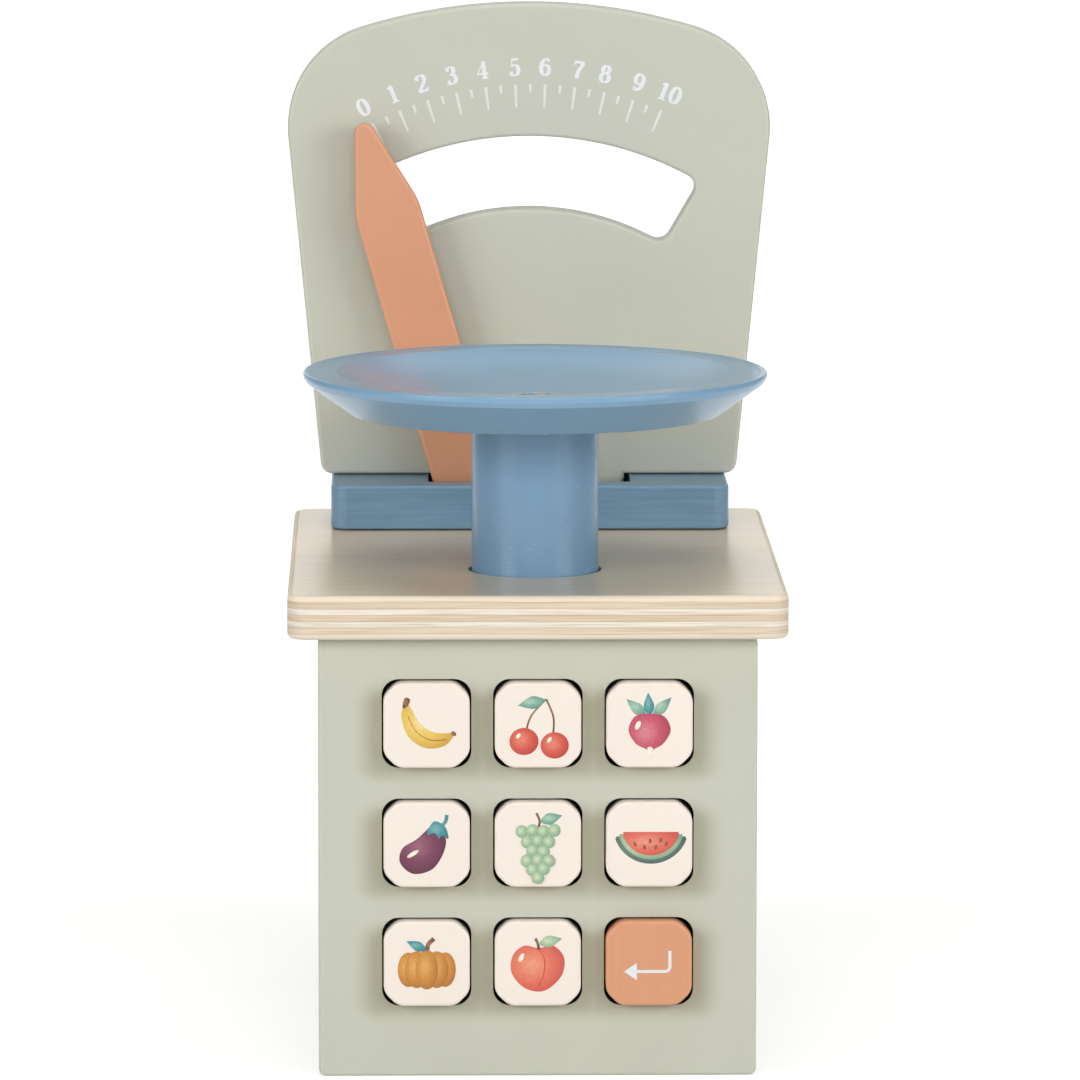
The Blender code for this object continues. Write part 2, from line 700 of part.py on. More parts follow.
def make_pointer():
    """Everything that turns with the pointer: its axle, hub, crank arm and crank pin."""
    lean = Matrix.Rotation(math.radians(REST_ANGLE), 4, "Y")
    bore = circle((0.0, 0.0), AXLE_RADIUS + GLUE_GAP)
    mesh = sheet([pointer_outline(), bore], POINTER_THICK, (0.0, 0.0, 0.0), True, 0.0009)
    mesh.transform(Matrix.Translation(PIVOT) @ lean)
    add_piece("pointer", mesh, "orange_paint", PIVOT)

    loops = [circle((0.0, PIVOT_Z), 0.0080, 24), circle((0.0, PIVOT_Z), 0.0033)]
    mesh = sheet(loops, 0.008, (0.0, 0.0503, 0.0), True, 0.0006, 0)
    add_piece("pointer_hub", mesh, "raw_beech", PIVOT)

    half = 0.0004
    front, back = -0.0105, 0.0775
    axle = [
        (0.0, -front),
        (AXLE_RADIUS - half, -front),
        (AXLE_RADIUS, -front - half),
        (AXLE_RADIUS, -back + half),
        (AXLE_RADIUS - half, -back),
        (0.0, -back),
    ]
    add_turned("pointer_axle", axle, "zinc_steel", (0.0, 0.0, PIVOT_Z), SMALL_STEPS, along_y=True)

    pin_x = CRANK_RADIUS * math.cos(math.radians(CRANK_REST_ANGLE))
    pin_z = PIVOT_Z + CRANK_RADIUS * math.sin(math.radians(CRANK_REST_ANGLE))
    outline = capsule((0.0, PIVOT_Z), (pin_x, pin_z), 0.0062)
    holes = [circle((0.0, PIVOT_Z), 0.0033), circle((pin_x, pin_z), 0.0020)]
    mesh = sheet([outline, *holes], 0.004, (0.0, -0.0080, 0.0), True, 0.0005, 0)
    add_piece("crank_arm", mesh, "raw_beech", PIVOT)

    pin = [
        (0.0, 0.0185),
        (0.0030, 0.0185),
        (0.0030, 0.0170),
        (0.0017, 0.0170),
        (0.0017, 0.0062),
        (0.0014, 0.0058),
        (0.0, 0.0058),
    ]
    add_turned("crank_pin", pin, "zinc_steel", (pin_x, 0.0, pin_z), SMALL_STEPS, along_y=True)

    wide = 0.013
    outline = arc((0.0, PIVOT_Z), wide, 180, 360, 12)
    outline += [(wide, TOP_UNDER_Z - GLUE_GAP), (-wide, TOP_UNDER_Z - GLUE_GAP)]
    mesh = sheet([outline, circle((0.0, PIVOT_Z), 0.0033)], 0.010, (0.0, 0.0080, 0.0), True, 0.0006, 0)
    add_piece("axle_bracket", mesh, "raw_beech")


def make_keys():
    """Nine sprung keys and the board behind them that holds their springs."""
    inside = INNER_HALF - GLUE_GAP
    low = (-inside, BACKBOARD_FRONT_Y, BASE_THICK + GLUE_GAP)
    high = (inside, BACKBOARD_FRONT_Y + BACKBOARD_THICK, BOX_HEIGHT)
    backboard = add_piece("key_backboard", box_mesh(low, high), "raw_beech")
    floor_y = BACKBOARD_FRONT_Y + POCKET_DEPTH
    pockets = [
        ((across, BACKBOARD_FRONT_Y - 0.002, up), (across, floor_y, up), POCKET_RADIUS, POCKET_RADIUS)
        for across, up in key_centres()
    ]
    cut(backboard, add_cutter("spring_pockets", rods_mesh(pockets)))

    flange_front = PANEL_BACK_Y + GLUE_GAP
    flange_back = flange_front + FLANGE_THICK
    cap_front = BOX_FRONT_Y - KEY_PROUD
    for number, (across, up) in enumerate(key_centres(), start=1):
        finish = "orange_paint" if number == 9 else "cream_paint"
        cap = rounded_box((across, up), KEY_SIDE, KEY_SIDE, KEY_CORNER)
        depth = flange_front + 0.001 - cap_front
        mesh = sheet([cap], depth, (0.0, cap_front + depth / 2, 0.0), True, KEY_EASE)
        key = add_piece(f"key_{number}", mesh, finish, (across, BOX_FRONT_Y, up))
        flange = rounded_box((across, up), FLANGE_SIDE, FLANGE_SIDE, 0.002, 2)
        mesh = sheet([flange], FLANGE_THICK, (0.0, flange_front + FLANGE_THICK / 2, 0.0), standing=True)
        join(key, add_cutter(f"key_flange_{number}", mesh))
        peg_start = (across, flange_back - 0.001, up)
        peg_end = (across, flange_back + 0.0018, up)
        peg = rods_mesh([(peg_start, peg_end, 0.0024, 0.0022)])
        join(key, add_cutter(f"key_peg_{number}", peg))
        start = (across, flange_back + GLUE_GAP, up)
        end = (across, floor_y - GLUE_GAP, up)
        spring(f"key_spring_{number}", KEY_SPRING, start, end, (across, BOX_FRONT_Y, up))


def main():
    start_empty()
    make_box()
    make_guide_post()
    make_keys()
    make_dial()
    make_dish()
    make_pointer()


main()
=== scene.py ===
# %% [markdown]
# # A wooden toy kitchen scale
# The object is a painted box with nine sprung keys, a plywood top, a blue dish on a column and a long
# orange pointer in front of a sage green dial board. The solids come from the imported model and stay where
# they are. This script rebuilds the pieces that the eye meets with finer edges and gives every piece the
# finish that the real one has.

# %% Load the solids
import json
import math

import bmesh
import bpy
from mathutils import Matrix, Vector
from mathutils.geometry import tessellate_polygon

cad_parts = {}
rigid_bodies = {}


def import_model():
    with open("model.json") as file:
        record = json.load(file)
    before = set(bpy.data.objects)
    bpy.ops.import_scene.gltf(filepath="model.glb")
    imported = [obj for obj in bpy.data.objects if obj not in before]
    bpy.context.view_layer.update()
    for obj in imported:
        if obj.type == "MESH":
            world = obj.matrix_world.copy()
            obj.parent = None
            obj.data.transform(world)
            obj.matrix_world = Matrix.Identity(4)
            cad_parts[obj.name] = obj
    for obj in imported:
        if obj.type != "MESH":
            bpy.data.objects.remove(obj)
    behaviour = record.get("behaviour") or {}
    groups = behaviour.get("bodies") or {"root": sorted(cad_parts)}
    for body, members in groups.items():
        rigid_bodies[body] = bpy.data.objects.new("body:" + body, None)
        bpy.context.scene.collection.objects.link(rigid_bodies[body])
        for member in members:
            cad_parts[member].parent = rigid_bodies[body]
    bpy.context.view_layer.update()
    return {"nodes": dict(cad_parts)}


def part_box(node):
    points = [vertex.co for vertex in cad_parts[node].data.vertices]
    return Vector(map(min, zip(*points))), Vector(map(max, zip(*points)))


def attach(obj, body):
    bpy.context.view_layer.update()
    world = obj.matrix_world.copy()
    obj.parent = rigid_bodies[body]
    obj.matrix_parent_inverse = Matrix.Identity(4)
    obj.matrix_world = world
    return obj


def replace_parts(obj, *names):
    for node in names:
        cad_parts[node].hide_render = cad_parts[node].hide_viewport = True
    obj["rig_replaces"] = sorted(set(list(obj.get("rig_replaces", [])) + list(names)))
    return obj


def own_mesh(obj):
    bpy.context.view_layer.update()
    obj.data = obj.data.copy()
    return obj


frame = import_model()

nodes = frame["nodes"]

# %% [markdown]
# ## Camera
# The photograph was taken from far away with a long lens, eight degrees above the level. A long lens keeps
# the box's sides nearly parallel. The matrix is made from the direction of view, because three angles and a
# place are easier to adjust than a target that the camera tracks.

# %% Camera
FRAME_PIXELS = 1080
FOCAL_PIXELS = 7897.475
CAMERA_PLACE = Vector((-0.03553, -2.00149, 0.40545))
PITCH, YAW, ROLL = math.radians(7.97143), math.radians(1.06807), math.radians(0.05993)

forward = Vector((math.sin(YAW) * math.cos(PITCH), math.cos(YAW) * math.cos(PITCH), -math.sin(PITCH)))
level = Vector((math.cos(YAW), -math.sin(YAW), 0.0))
above = level.cross(forward)
right = level * math.cos(ROLL) + above * math.sin(ROLL)
up = above * math.cos(ROLL) - level * math.sin(ROLL)

camera_data = bpy.data.cameras.new("camera")
camera_data.sensor_width = 36.0
camera_data.lens = camera_data.sensor_width * FOCAL_PIXELS / FRAME_PIXELS
camera_data.clip_end = 60.0
camera = bpy.data.objects.new("camera", camera_data)
bpy.context.scene.collection.objects.link(camera)
camera.matrix_world = Matrix.Translation(CAMERA_PLACE) @ Matrix((right, up, -forward)).transposed().to_4x4()
bpy.context.scene.camera = camera
print(f"lens {camera_data.lens:.1f} mm")

# %% [markdown]
# ## Small tools
# A node tree reads best when each node is one call that says what it is set to and what feeds it. The same
# class serves shaders and Geometry Nodes, with a short call for each kind of node that comes often. Colours
# are written as they are picked on a screen, in sRGB, and turned to the linear values that the renderer
# works with in one place.

# %% Small tools
def linear(code, share=1.0):
    """Linear colour of an sRGB hex code, brightened or darkened by a share."""
    parts = [int(code[i : i + 2], 16) / 255 for i in (1, 3, 5)]
    curve = [p / 12.92 if p <= 0.04045 else ((p + 0.055) / 1.055) ** 2.4 for p in parts]
    return (*[min(1.0, p * share) for p in curve], 1.0)


def put(name, data):
    """A new object in the scene."""
    made = bpy.data.objects.new(name, data)
    bpy.context.scene.collection.objects.link(made)
    return made


def mesh_of(name, work):
    """Mesh of a finished bmesh, which then goes away."""
    mesh = bpy.data.meshes.new(name)
    work.to_mesh(mesh)
    work.free()
    return mesh


class Tree:
    """Node tree with a short call for each kind of node that comes often."""

    def __init__(self, tree):
        self.tree = tree

    def add(self, kind, feeds=None, **settings):
        """Adds a node. Feeds are values for its inputs, or the outputs that they are joined to."""
        made = self.tree.nodes.new(kind)
        for name, value in settings.items():
            setattr(made, name, value)
        for socket, value in (feeds or {}).items():
            if isinstance(value, bpy.types.NodeSocket):
                self.tree.links.new(value, made.inputs[socket])
            else:
                made.inputs[socket].default_value = value
        return made

    def first(self, kind, feeds=None, **settings):
        """Adds a node and gives its first output."""
        return self.add(kind, feeds, **settings).outputs[0]

    def maths(self, operation, *values):
        return self.first("ShaderNodeMath", dict(enumerate(values)), operation=operation)

    def vectors(self, operation, *values):
        made = self.add("ShaderNodeVectorMath", dict(enumerate(values)), operation=operation)
        return made.outputs["Value" if operation in ("LENGTH", "DISTANCE") else 0]

    def remap(self, value, low, high, new_low, new_high, **settings):
        feeds = dict(enumerate((value, low, high, new_low, new_high)))
        return self.first("ShaderNodeMapRange", feeds, **settings)

    def mix(self, share, first, second, **settings):
        feeds = {0: share, 6: first, 7: second}
        return self.add("ShaderNodeMix", feeds, data_type="RGBA", **settings).outputs[2]

    def noise(self, spot, scale, detail, stretch=None, **more):
        """A noise, on coordinates that are stretched first where that is asked for."""
        if stretch:
            spot = self.first("ShaderNodeMapping", {"Vector": spot, "Scale": stretch})
        feeds = {"Vector": spot, "Scale": scale, "Detail": detail, **more}
        return self.add("ShaderNodeTexNoise", feeds).outputs["Fac"]

    def bump(self, strength, distance, height):
        feeds = {"Strength": strength, "Distance": distance, "Height": height}
        return self.first("ShaderNodeBump", feeds)

    def end(self, shader):
        """Makes a shader the material's surface."""
        self.tree.links.new(shader, self.out.inputs["Surface"])

    def principled(self, colour, rough, normal=None, more=None):
        """Ends the material in the shader that all finishes share."""
        feeds = {"Base Color": colour, "Roughness": rough, **(more or {})}
        if normal is not None:
            feeds["Normal"] = normal
        self.end(self.first("ShaderNodeBsdfPrincipled", feeds))


def new_material(name):
    """An empty material, its tree and the object's own coordinates."""
    material = bpy.data.materials.new(name)
    material.use_nodes = True
    material.node_tree.nodes.clear()
    tree = Tree(material.node_tree)
    tree.out = tree.add("ShaderNodeOutputMaterial")
    return material, tree, tree.add("ShaderNodeTexCoord").outputs["Object"]


print("tools ready")

# %% [markdown]
# ## Floor and light
# The scale stands on pale paper with a backdrop behind it. The paper's own colour is a light grey that
# keeps the shadow and throws little light back up. A glow lifts it to white, and grows with the distance
# because the lamps' light fades there. Only the camera's rays see it, and mirrored rays that meet the paper
# in front of or behind the scale: satin surfaces that lie flat mirror the backdrop, as in the photograph.
# Two tall soft boxes stand well to the left and to the right. They give the column its two pale bands and
# leave soft shadows beside the keys. A wide one behind the camera fills the faces between them, and one
# straight above lights what lies flat.

# %% Floor and light
WHITE, PAPER_COLOUR, SKY_COLOUR, SKY_STRENGTH = "#FFFFFF", "#DADAD8", "#FFF6E9", 0.10
PAPER_HALF_WIDTH, GLOW_START, GLOW_END = 0.8, 0.15, 1.3
NEAR_GLOW, FAR_GLOW = 0.56, 0.97
SCALE_MIDDLE = Vector((0.0, 0.0, 0.12))


def seen_directly(tree, spot):
    """1 for the camera's rays and for mirrored rays within the paper's width, 0 for rays that bring light."""
    path = tree.add("ShaderNodeLightPath")
    across = tree.add("ShaderNodeSeparateXYZ", {0: spot}).outputs["X"]
    on_paper = tree.maths("COMPARE", across, 0.0, PAPER_HALF_WIDTH)
    mirrored = tree.maths("MULTIPLY", path.outputs["Is Glossy Ray"], on_paper)
    return tree.maths("MAXIMUM", path.outputs["Is Camera Ray"], mirrored)


def make_paper(name, corners, near_glow, far_glow):
    """Sheet of pale paper, lifted to white where it is seen directly."""
    mesh = bpy.data.meshes.new(name)
    mesh.from_pydata(corners, [], [(0, 1, 2, 3)])
    sheet = put(name, mesh)
    material, tree, spot = new_material(name)
    strength = tree.remap(tree.vectors("LENGTH", spot), GLOW_START, GLOW_END, near_glow, far_glow)
    paper = tree.first("ShaderNodeBsdfDiffuse", {"Color": linear(PAPER_COLOUR)})
    glow = tree.first("ShaderNodeEmission", {"Color": linear(WHITE), "Strength": strength})
    lifted = tree.first("ShaderNodeAddShader", {0: paper, 1: glow})
    tree.end(tree.first("ShaderNodeMixShader", {0: seen_directly(tree, spot), 1: paper, 2: lifted}))
    mesh.materials.append(material)


def add_lamp(name, azimuth, elevation, distance, width, height, power):
    """Soft box aimed at the middle of the scale. Azimuth 0 is in front, and positive is to the right."""
    lamp = bpy.data.lights.new(name, "AREA")
    lamp.shape = "RECTANGLE"
    lamp.size, lamp.size_y = width, height
    lamp.energy = power
    a, e = math.radians(azimuth), math.radians(elevation)
    away = Vector((math.sin(a) * math.cos(e), -math.cos(a) * math.cos(e), math.sin(e)))
    holder = put(name, lamp)
    holder.location = SCALE_MIDDLE + away * distance
    holder.rotation_euler = away.to_track_quat("Z", "Y").to_euler()


make_paper("paper_floor", [(-15, -15, 0), (15, -15, 0), (15, 15, 0), (-15, 15, 0)], NEAR_GLOW, FAR_GLOW)
make_paper("paper_backdrop", [(-4, 2.6, 0), (4, 2.6, 0), (4, 2.6, 4), (-4, 2.6, 4)], FAR_GLOW, FAR_GLOW)
add_lamp("soft_box_left", -51, 14, 1.7, 0.92, 0.86, 12.0)
add_lamp("soft_box_right", 51, 14, 1.7, 0.92, 0.86, 12.0)
add_lamp("soft_box_front", 0, 21, 2.5, 1.9, 0.7, 15.0)
add_lamp("soft_box_above", 0, 90, 2.4, 1.8, 1.8, 24.0)

world = bpy.data.worlds.new("studio")
bpy.context.scene.world = world
world.use_nodes = True
world.node_tree.nodes.clear()
sky = Tree(world.node_tree)
seen = sky.add("ShaderNodeLightPath").outputs["Is Camera Ray"]
soft = sky.first("ShaderNodeBackground", {"Color": linear(SKY_COLOUR), "Strength": SKY_STRENGTH})
white = sky.first("ShaderNodeBackground", {"Color": linear(WHITE), "Strength": 1.0})
sky.out = sky.add("ShaderNodeOutputWorld")
sky.end(sky.first("ShaderNodeMixShader", {0: seen, 1: soft, 2: white}))
bpy.context.scene.view_settings.view_transform = "Standard"
print("paper, four soft boxes and a pale sky")

# %% [markdown]
# ## Shapes
# Every flat piece here is a sheet that was sawn to an outline and sanded: its arris is a quarter circle of
# half a millimetre to a millimetre. A Bevel modifier could round it, but on an outline with a window it
# makes uneven corners, so the rings of the rounding are laid down one by one. The points of the rounding are
# marked in an attribute named arris, so that a paint can be a shade lighter there: a painted highlight along
# the rounded arris.

# %% Flat outlines
def arc(centre, radius, start, end, steps):
    """Points on an arc, with angles in degrees counted from the first axis towards the second."""
    points = []
    for step in range(steps + 1):
        angle = math.radians(start + (end - start) * step / steps)
        points.append((centre[0] + radius * math.cos(angle), centre[1] + radius * math.sin(angle)))
    return points


def circle(centre, radius, steps=48):
    return arc(centre, radius, 0, 360, steps)[:-1]


def rounded_box(centre, width, height, corner, steps=10):
    """Outline of a rectangle with rounded corners."""
    right_x, left_x = centre[0] + width / 2 - corner, centre[0] - width / 2 + corner
    top, bottom = centre[1] + height / 2 - corner, centre[1] - height / 2 + corner
    outline = arc((right_x, top), corner, 0, 90, steps)
    outline += arc((left_x, top), corner, 90, 180, steps)
    outline += arc((left_x, bottom), corner, 180, 270, steps)
    outline += arc((right_x, bottom), corner, 270, 360, steps)
    return outline


def area_of(loop):
    """Area inside a loop, positive if it runs anticlockwise."""
    total = 0.0
    for (x0, y0), (x1, y1) in zip(loop, loop[1:] + loop[:1]):
        total += x0 * y1 - x1 * y0
    return total / 2


def inset(loop, distance):
    """The loop moved to its left side, which is into the wood for an anticlockwise outline."""
    moved = []
    count = len(loop)
    for i in range(count):
        before, here, after = Vector(loop[i - 1]), Vector(loop[i]), Vector(loop[(i + 1) % count])
        first, second = (here - before).normalized(), (after - here).normalized()
        sideways = Vector((-first.y - second.y, first.x + second.x))
        if sideways.length < 1e-9:
            sideways = Vector((-first.y, first.x))
        sideways.normalize()
        stretch = 1.0 / max(0.35, sideways.dot(Vector((-first.y, first.x))))
        moved.append(tuple(here + sideways * distance * stretch))
    return moved


print("outlines ready")

# %% [markdown]
# ## From outline to piece
# The plate function lays rings of points from the front face over the arris to the back, and fills the two
# faces round the holes. Turned pieces spin a profile about their axis, with one point at each pole so that
# nothing is left open. Weighted normals keep the large faces flat for the light while the arris stays
# round.

# %% Plates and turned pieces
ROUNDING_STEPS, SHARP_ANGLE = 5, math.radians(40)


def face_strip(work, first, second, slot):
    """Quads between two closed rows of points."""
    count = len(first)
    for i in range(count):
        j = (i + 1) % count
        face = work.faces.new((first[i], first[j], second[j], second[i]))
        face.material_index = slot


def plate(loops, thickness, eases, centre, standing=False, slots=None):
    """Sheet cut to its first loop, with the others as holes. Each loop has its own rounding and slot."""
    work = bmesh.new()
    arris = work.verts.layers.float.new("arris")
    slots = slots or [0] * len(loops)
    caps = {1: [], -1: []}
    for number, (loop, ease, slot) in enumerate(zip(loops, eases, slots)):
        if (area_of(loop) > 0) != (number == 0):
            loop = loop[::-1]
        rings = []
        for side in (1, -1):
            row = []
            for step in range(ROUNDING_STEPS + 1 if ease else 1):
                angle = math.radians(90 * step / ROUNDING_STEPS) if ease else 0.0
                depth = side * (thickness / 2 - ease * (1 - math.cos(angle)))
                points = inset(loop, ease * (1 - math.sin(angle)))
                ring = [work.verts.new((x, y, depth)) for x, y in points]
                for point in ring:
                    point[arris] = 1.0 if 0 < step < ROUNDING_STEPS else 0.0
                row.append(ring)
            caps[side].append(row[0])
            rings += row if side > 0 else row[::-1]
        for first, second in zip(rings, rings[1:]):
            face_strip(work, first, second, slot)
    for side, rows in caps.items():
        flat = [point for row in rows for point in row]
        for corners in tessellate_polygon([[point.co for point in row] for row in rows]):
            work.faces.new([flat[corner] for corner in corners])
    bmesh.ops.recalc_face_normals(work, faces=work.faces)
    if standing:
        bmesh.ops.transform(work, matrix=Matrix.Rotation(math.radians(90), 4, "X"), verts=work.verts)
    bmesh.ops.translate(work, vec=centre, verts=work.verts)
    return work


def round_corners(points, steps=5):
    """Open profile whose points carry a corner radius as their third number."""
    made = [points[0][:2]]
    for before, here, after in zip(points, points[1:], points[2:]):
        spot = Vector(here[:2])
        if here[2] <= 0:
            made.append(tuple(spot))
            continue
        first, second = (Vector(before[:2]) - spot).normalized(), (Vector(after[:2]) - spot).normalized()
        half = first.angle(second) / 2
        reach = here[2] / math.tan(half)
        middle = spot + (first + second).normalized() * here[2] / math.sin(half)
        start, end = spot + first * reach - middle, spot + second * reach - middle
        sweep = start.angle_signed(end)
        for step in range(steps + 1):
            turned = start.copy()
            turned.rotate(Matrix.Rotation(-sweep * step / steps, 2))
            made.append(tuple(middle + turned))
    made.append(points[-1][:2])
    return made


def turned(profile, centre, steps):
    """Piece spun about the vertical through its centre from an open profile of radius and height."""
    work = bmesh.new()
    rows = []
    for radius, height in profile:
        if radius < 1e-7:
            rows.append([work.verts.new((0.0, 0.0, height))])
            continue
        row = []
        for step in range(steps):
            angle = 2 * math.pi * step / steps
            row.append(work.verts.new((radius * math.cos(angle), radius * math.sin(angle), height)))
        rows.append(row)
    for first, second in zip(rows, rows[1:]):
        if len(first) == 1 and len(second) == 1:
            continue
        if len(first) == 1 or len(second) == 1:
            pole, ring = (first[0], second) if len(first) == 1 else (second[0], first)
            for i in range(steps):
                work.faces.new((pole, ring[i], ring[(i + 1) % steps]))
        else:
            face_strip(work, first, second, 0)
    bmesh.ops.recalc_face_normals(work, faces=work.faces)
    bmesh.ops.translate(work, vec=centre, verts=work.verts)
    return work


def settled(holder):
    """Plain mesh of an object with its modifiers, which then goes away."""
    bpy.context.view_layer.update()
    graph = bpy.context.evaluated_depsgraph_get()
    mesh = bpy.data.meshes.new_from_object(
        holder.evaluated_get(graph), preserve_all_data_layers=True, depsgraph=graph
    )
    bpy.data.objects.remove(holder, do_unlink=True)
    return mesh


def place(name, work, finishes, body, slot, replaced=(), film=False):
    """Puts a finished shape into the scene, on the body that carries it and in place of its solids."""
    drawn = isinstance(work, bmesh.types.BMesh)
    mesh = mesh_of(name, work) if drawn else work
    if drawn and not film:
        mesh.shade_smooth()
        mesh.set_sharp_from_angle(angle=SHARP_ANGLE)
        holder = put(name, mesh)
        holder.modifiers.new("flat_faces", "WEIGHTED_NORMAL").keep_sharp = True
        mesh = settled(holder)
    if not mesh.materials:
        for finish in finishes:
            mesh.materials.append(finish)
    piece = put(name, mesh)
    mesh.name = name
    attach(piece, body)
    if replaced:
        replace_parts(piece, *replaced)
    print(f"{name}: {len(mesh.polygons)} faces on {body}")
    return piece


# %% [markdown]
# ## Satin paint
# The boards, the dish and the pointer wear sprayed satin paint. Real sprayed paint isn't one flat colour:
# it is a touch uneven over centimetres and has a faint orange peel of about a millimetre. The paint is also
# a shade lighter on the rounded arrises, which is a painted highlight. One function makes all four paints,
# and wood grain that shows through is only asked for where the wood is turned or sawn.

# %% Satin paint
UPRIGHT_GRAIN, LEVEL_GRAIN = (220.0, 220.0, 14.0), (14.0, 260.0, 260.0)


def satin_paint(name, colour, rough, grain=0.0, stretch=UPRIGHT_GRAIN, edge=1.10, peel=0.22, stain_and_shade=None):
    """Sprayed satin paint. Grain is the share by which the wood's lines darken it."""
    material, tree, spot = new_material(name)
    cloud = tree.noise(spot, 30.0, 3.0)
    uneven = tree.mix(cloud, linear(colour, 0.965), linear(colour, 1.035))
    lines = tree.remap(tree.noise(spot, 4.0, 5.0, stretch), 0.40, 0.62, grain, 0.0)
    grained = tree.mix(lines, uneven, linear(colour, 0.45))
    # Painted highlight: the colour is a shade lighter on the rounded arrises.
    arris_highlight = tree.add("ShaderNodeAttribute", attribute_name="arris").outputs["Fac"]
    shade = tree.mix(tree.maths("MULTIPLY", arris_highlight, 0.7), grained, linear(colour, edge))
    # Marks laid over the colour: bare wood chips on the dish, and smoke haze with painted key shade on the
    # front panel.
    if stain_and_shade:
        shade = stain_and_shade(tree, spot, shade)
    sheen = tree.remap(cloud, 0.0, 1.0, rough - 0.05, rough + 0.05)
    relief = tree.maths("MULTIPLY_ADD", lines, -0.8, tree.noise(spot, 900.0, 2.0))
    tree.principled(shade, sheen, tree.bump(peel, 0.00006, relief), {"IOR": 1.5})
    return material


sage = satin_paint("sage_satin_paint_on_fibreboard", "#C4C6B8", 0.44)
# The bar, the column and the dish wear one blue paint. The bar's copy is a shade darker than the dish's:
# painted shade.
blue = satin_paint("blue_satin_paint_on_sawn_wood", "#7498B4", 0.31, 0.20, LEVEL_GRAIN)
orange = satin_paint("orange_satin_paint_on_sawn_wood", "#DA9B77", 0.40, 0.03)
cream = satin_paint("cream_satin_paint_on_key", "#F4E9DF", 0.45, peel=0.12, edge=1.04)
print("four satin paints")

# %% [markdown]
# The column was turned on a lathe before it was painted. The tool left short level marks a few tenths of a
# millimetre high, and the paint only half filled them, so they catch the light in the two pale bands. A
# noise that is stretched round the column and squeezed in height draws them as relief. The marks are also
# painted a sixth lighter in colour, a painted glint on top of the relief.

# %% Paint on the turned column
def turned_paint(name, colour, rough):
    """Blue paint over the marks of the lathe tool, with a painted glint on the marks."""
    material, tree, spot = new_material(name)
    uneven = tree.mix(tree.noise(spot, 40.0, 3.0), linear(colour, 0.95), linear(colour, 1.05))
    cuts = tree.remap(tree.noise(spot, 1.0, 2.0, (420.0, 420.0, 2600.0)), 0.60, 0.74, 0.0, 1.0)
    fibres = tree.noise(spot, 1.0, 3.0, (520.0, 520.0, 30.0))
    bump = tree.bump(0.55, 0.00007, tree.maths("MULTIPLY_ADD", cuts, 1.3, fibres))
    # Painted glint: the marks' colour is lifted to a sixth lighter.
    tree.principled(tree.mix(cuts, uneven, linear(colour, 1.16)), rough, bump, {"IOR": 1.5})
    return material


# The column's copy of the blue paint is a shade darker than the dish's: painted shade.
blue_column = turned_paint("blue_satin_paint_on_lathe_marks", "#7498B6", 0.26)
print("paint over lathe marks")

# %% [markdown]
# Paint is thinnest on a sharp turned edge and breaks there first. The dish shows bare wood in a few specks
# at the rim of the screw's recess and at the lower edge of its cone. Both edges are circles, so the specks
# are let through only close to such a circle, which is measured across the radius and the height.

# %% Chips in the dish's paint
DISH_Y, DISH_Z = -0.0277, 0.1616
BARE_WOOD = "#C9BCA8"
# radius, height above the dish's foot, reach and rareness of the specks
CHIPPED_EDGES = ((0.0053, 0.0042, 0.0006, 0.50), (0.0462, 0.0002, 0.0008, 0.62))


def chips(tree, spot, colour):
    """The paint's colour with bare wood showing in specks along two edges."""
    from_axis = tree.vectors("SUBTRACT", spot, (0.0, DISH_Y, 0.0))
    radius = tree.vectors("LENGTH", tree.vectors("MULTIPLY", from_axis, (1.0, 1.0, 0.0)))
    height = tree.add("ShaderNodeSeparateXYZ", {0: spot}).outputs["Z"]
    section = tree.first("ShaderNodeCombineXYZ", {"X": radius, "Y": height})
    specks = tree.noise(spot, 620.0, 2.0)
    for edge, above, reach, rareness in CHIPPED_EDGES:
        near = tree.maths("LESS_THAN", tree.vectors("DISTANCE", section, (edge, DISH_Z + above, 0.0)), reach)
        chip = tree.maths("MULTIPLY", near, tree.maths("GREATER_THAN", specks, rareness))
        colour = tree.mix(chip, colour, linear(BARE_WOOD))
    return colour


# The dish's copy of the blue paint is a shade lighter than the bar's and the column's: painted light from
# below.
blue_dish = satin_paint(
    "blue_satin_paint_on_turned_bowl", "#80A8C7", 0.24, 0.03, (14.0, 200.0, 200.0), stain_and_shade=chips
)
print("dish paint with chipped edges")

# %% [markdown]
# ## Birch plywood
# The top is an eleven millimetre board of seven plies. On its edge the plies lie crosswise in turn: those
# that run along the edge are pale and streaky, the others show their ends, darker and dotted, and thin glue
# lines part them. The face veneer has long quiet grain under a clear satin lacquer, which mirrors the
# column softly. Both finishes read the piece's own coordinates, so the plies sit at their true heights.

# %% Birch plywood
PLY_TOP, PLY_BOTTOM, PLY_SHIFT = 0.1218, 0.1108, 0.0003
PLIES = ("#ECE0CE", "#E2D3BC", "#F0E8DA", "#DFCDB4", "#F0E8DB", "#E1D2BB", "#EFE0CB")
GLUE, GLUE_SHARE, STREAK = "#C4AA8C", 0.012, "#B58D68"


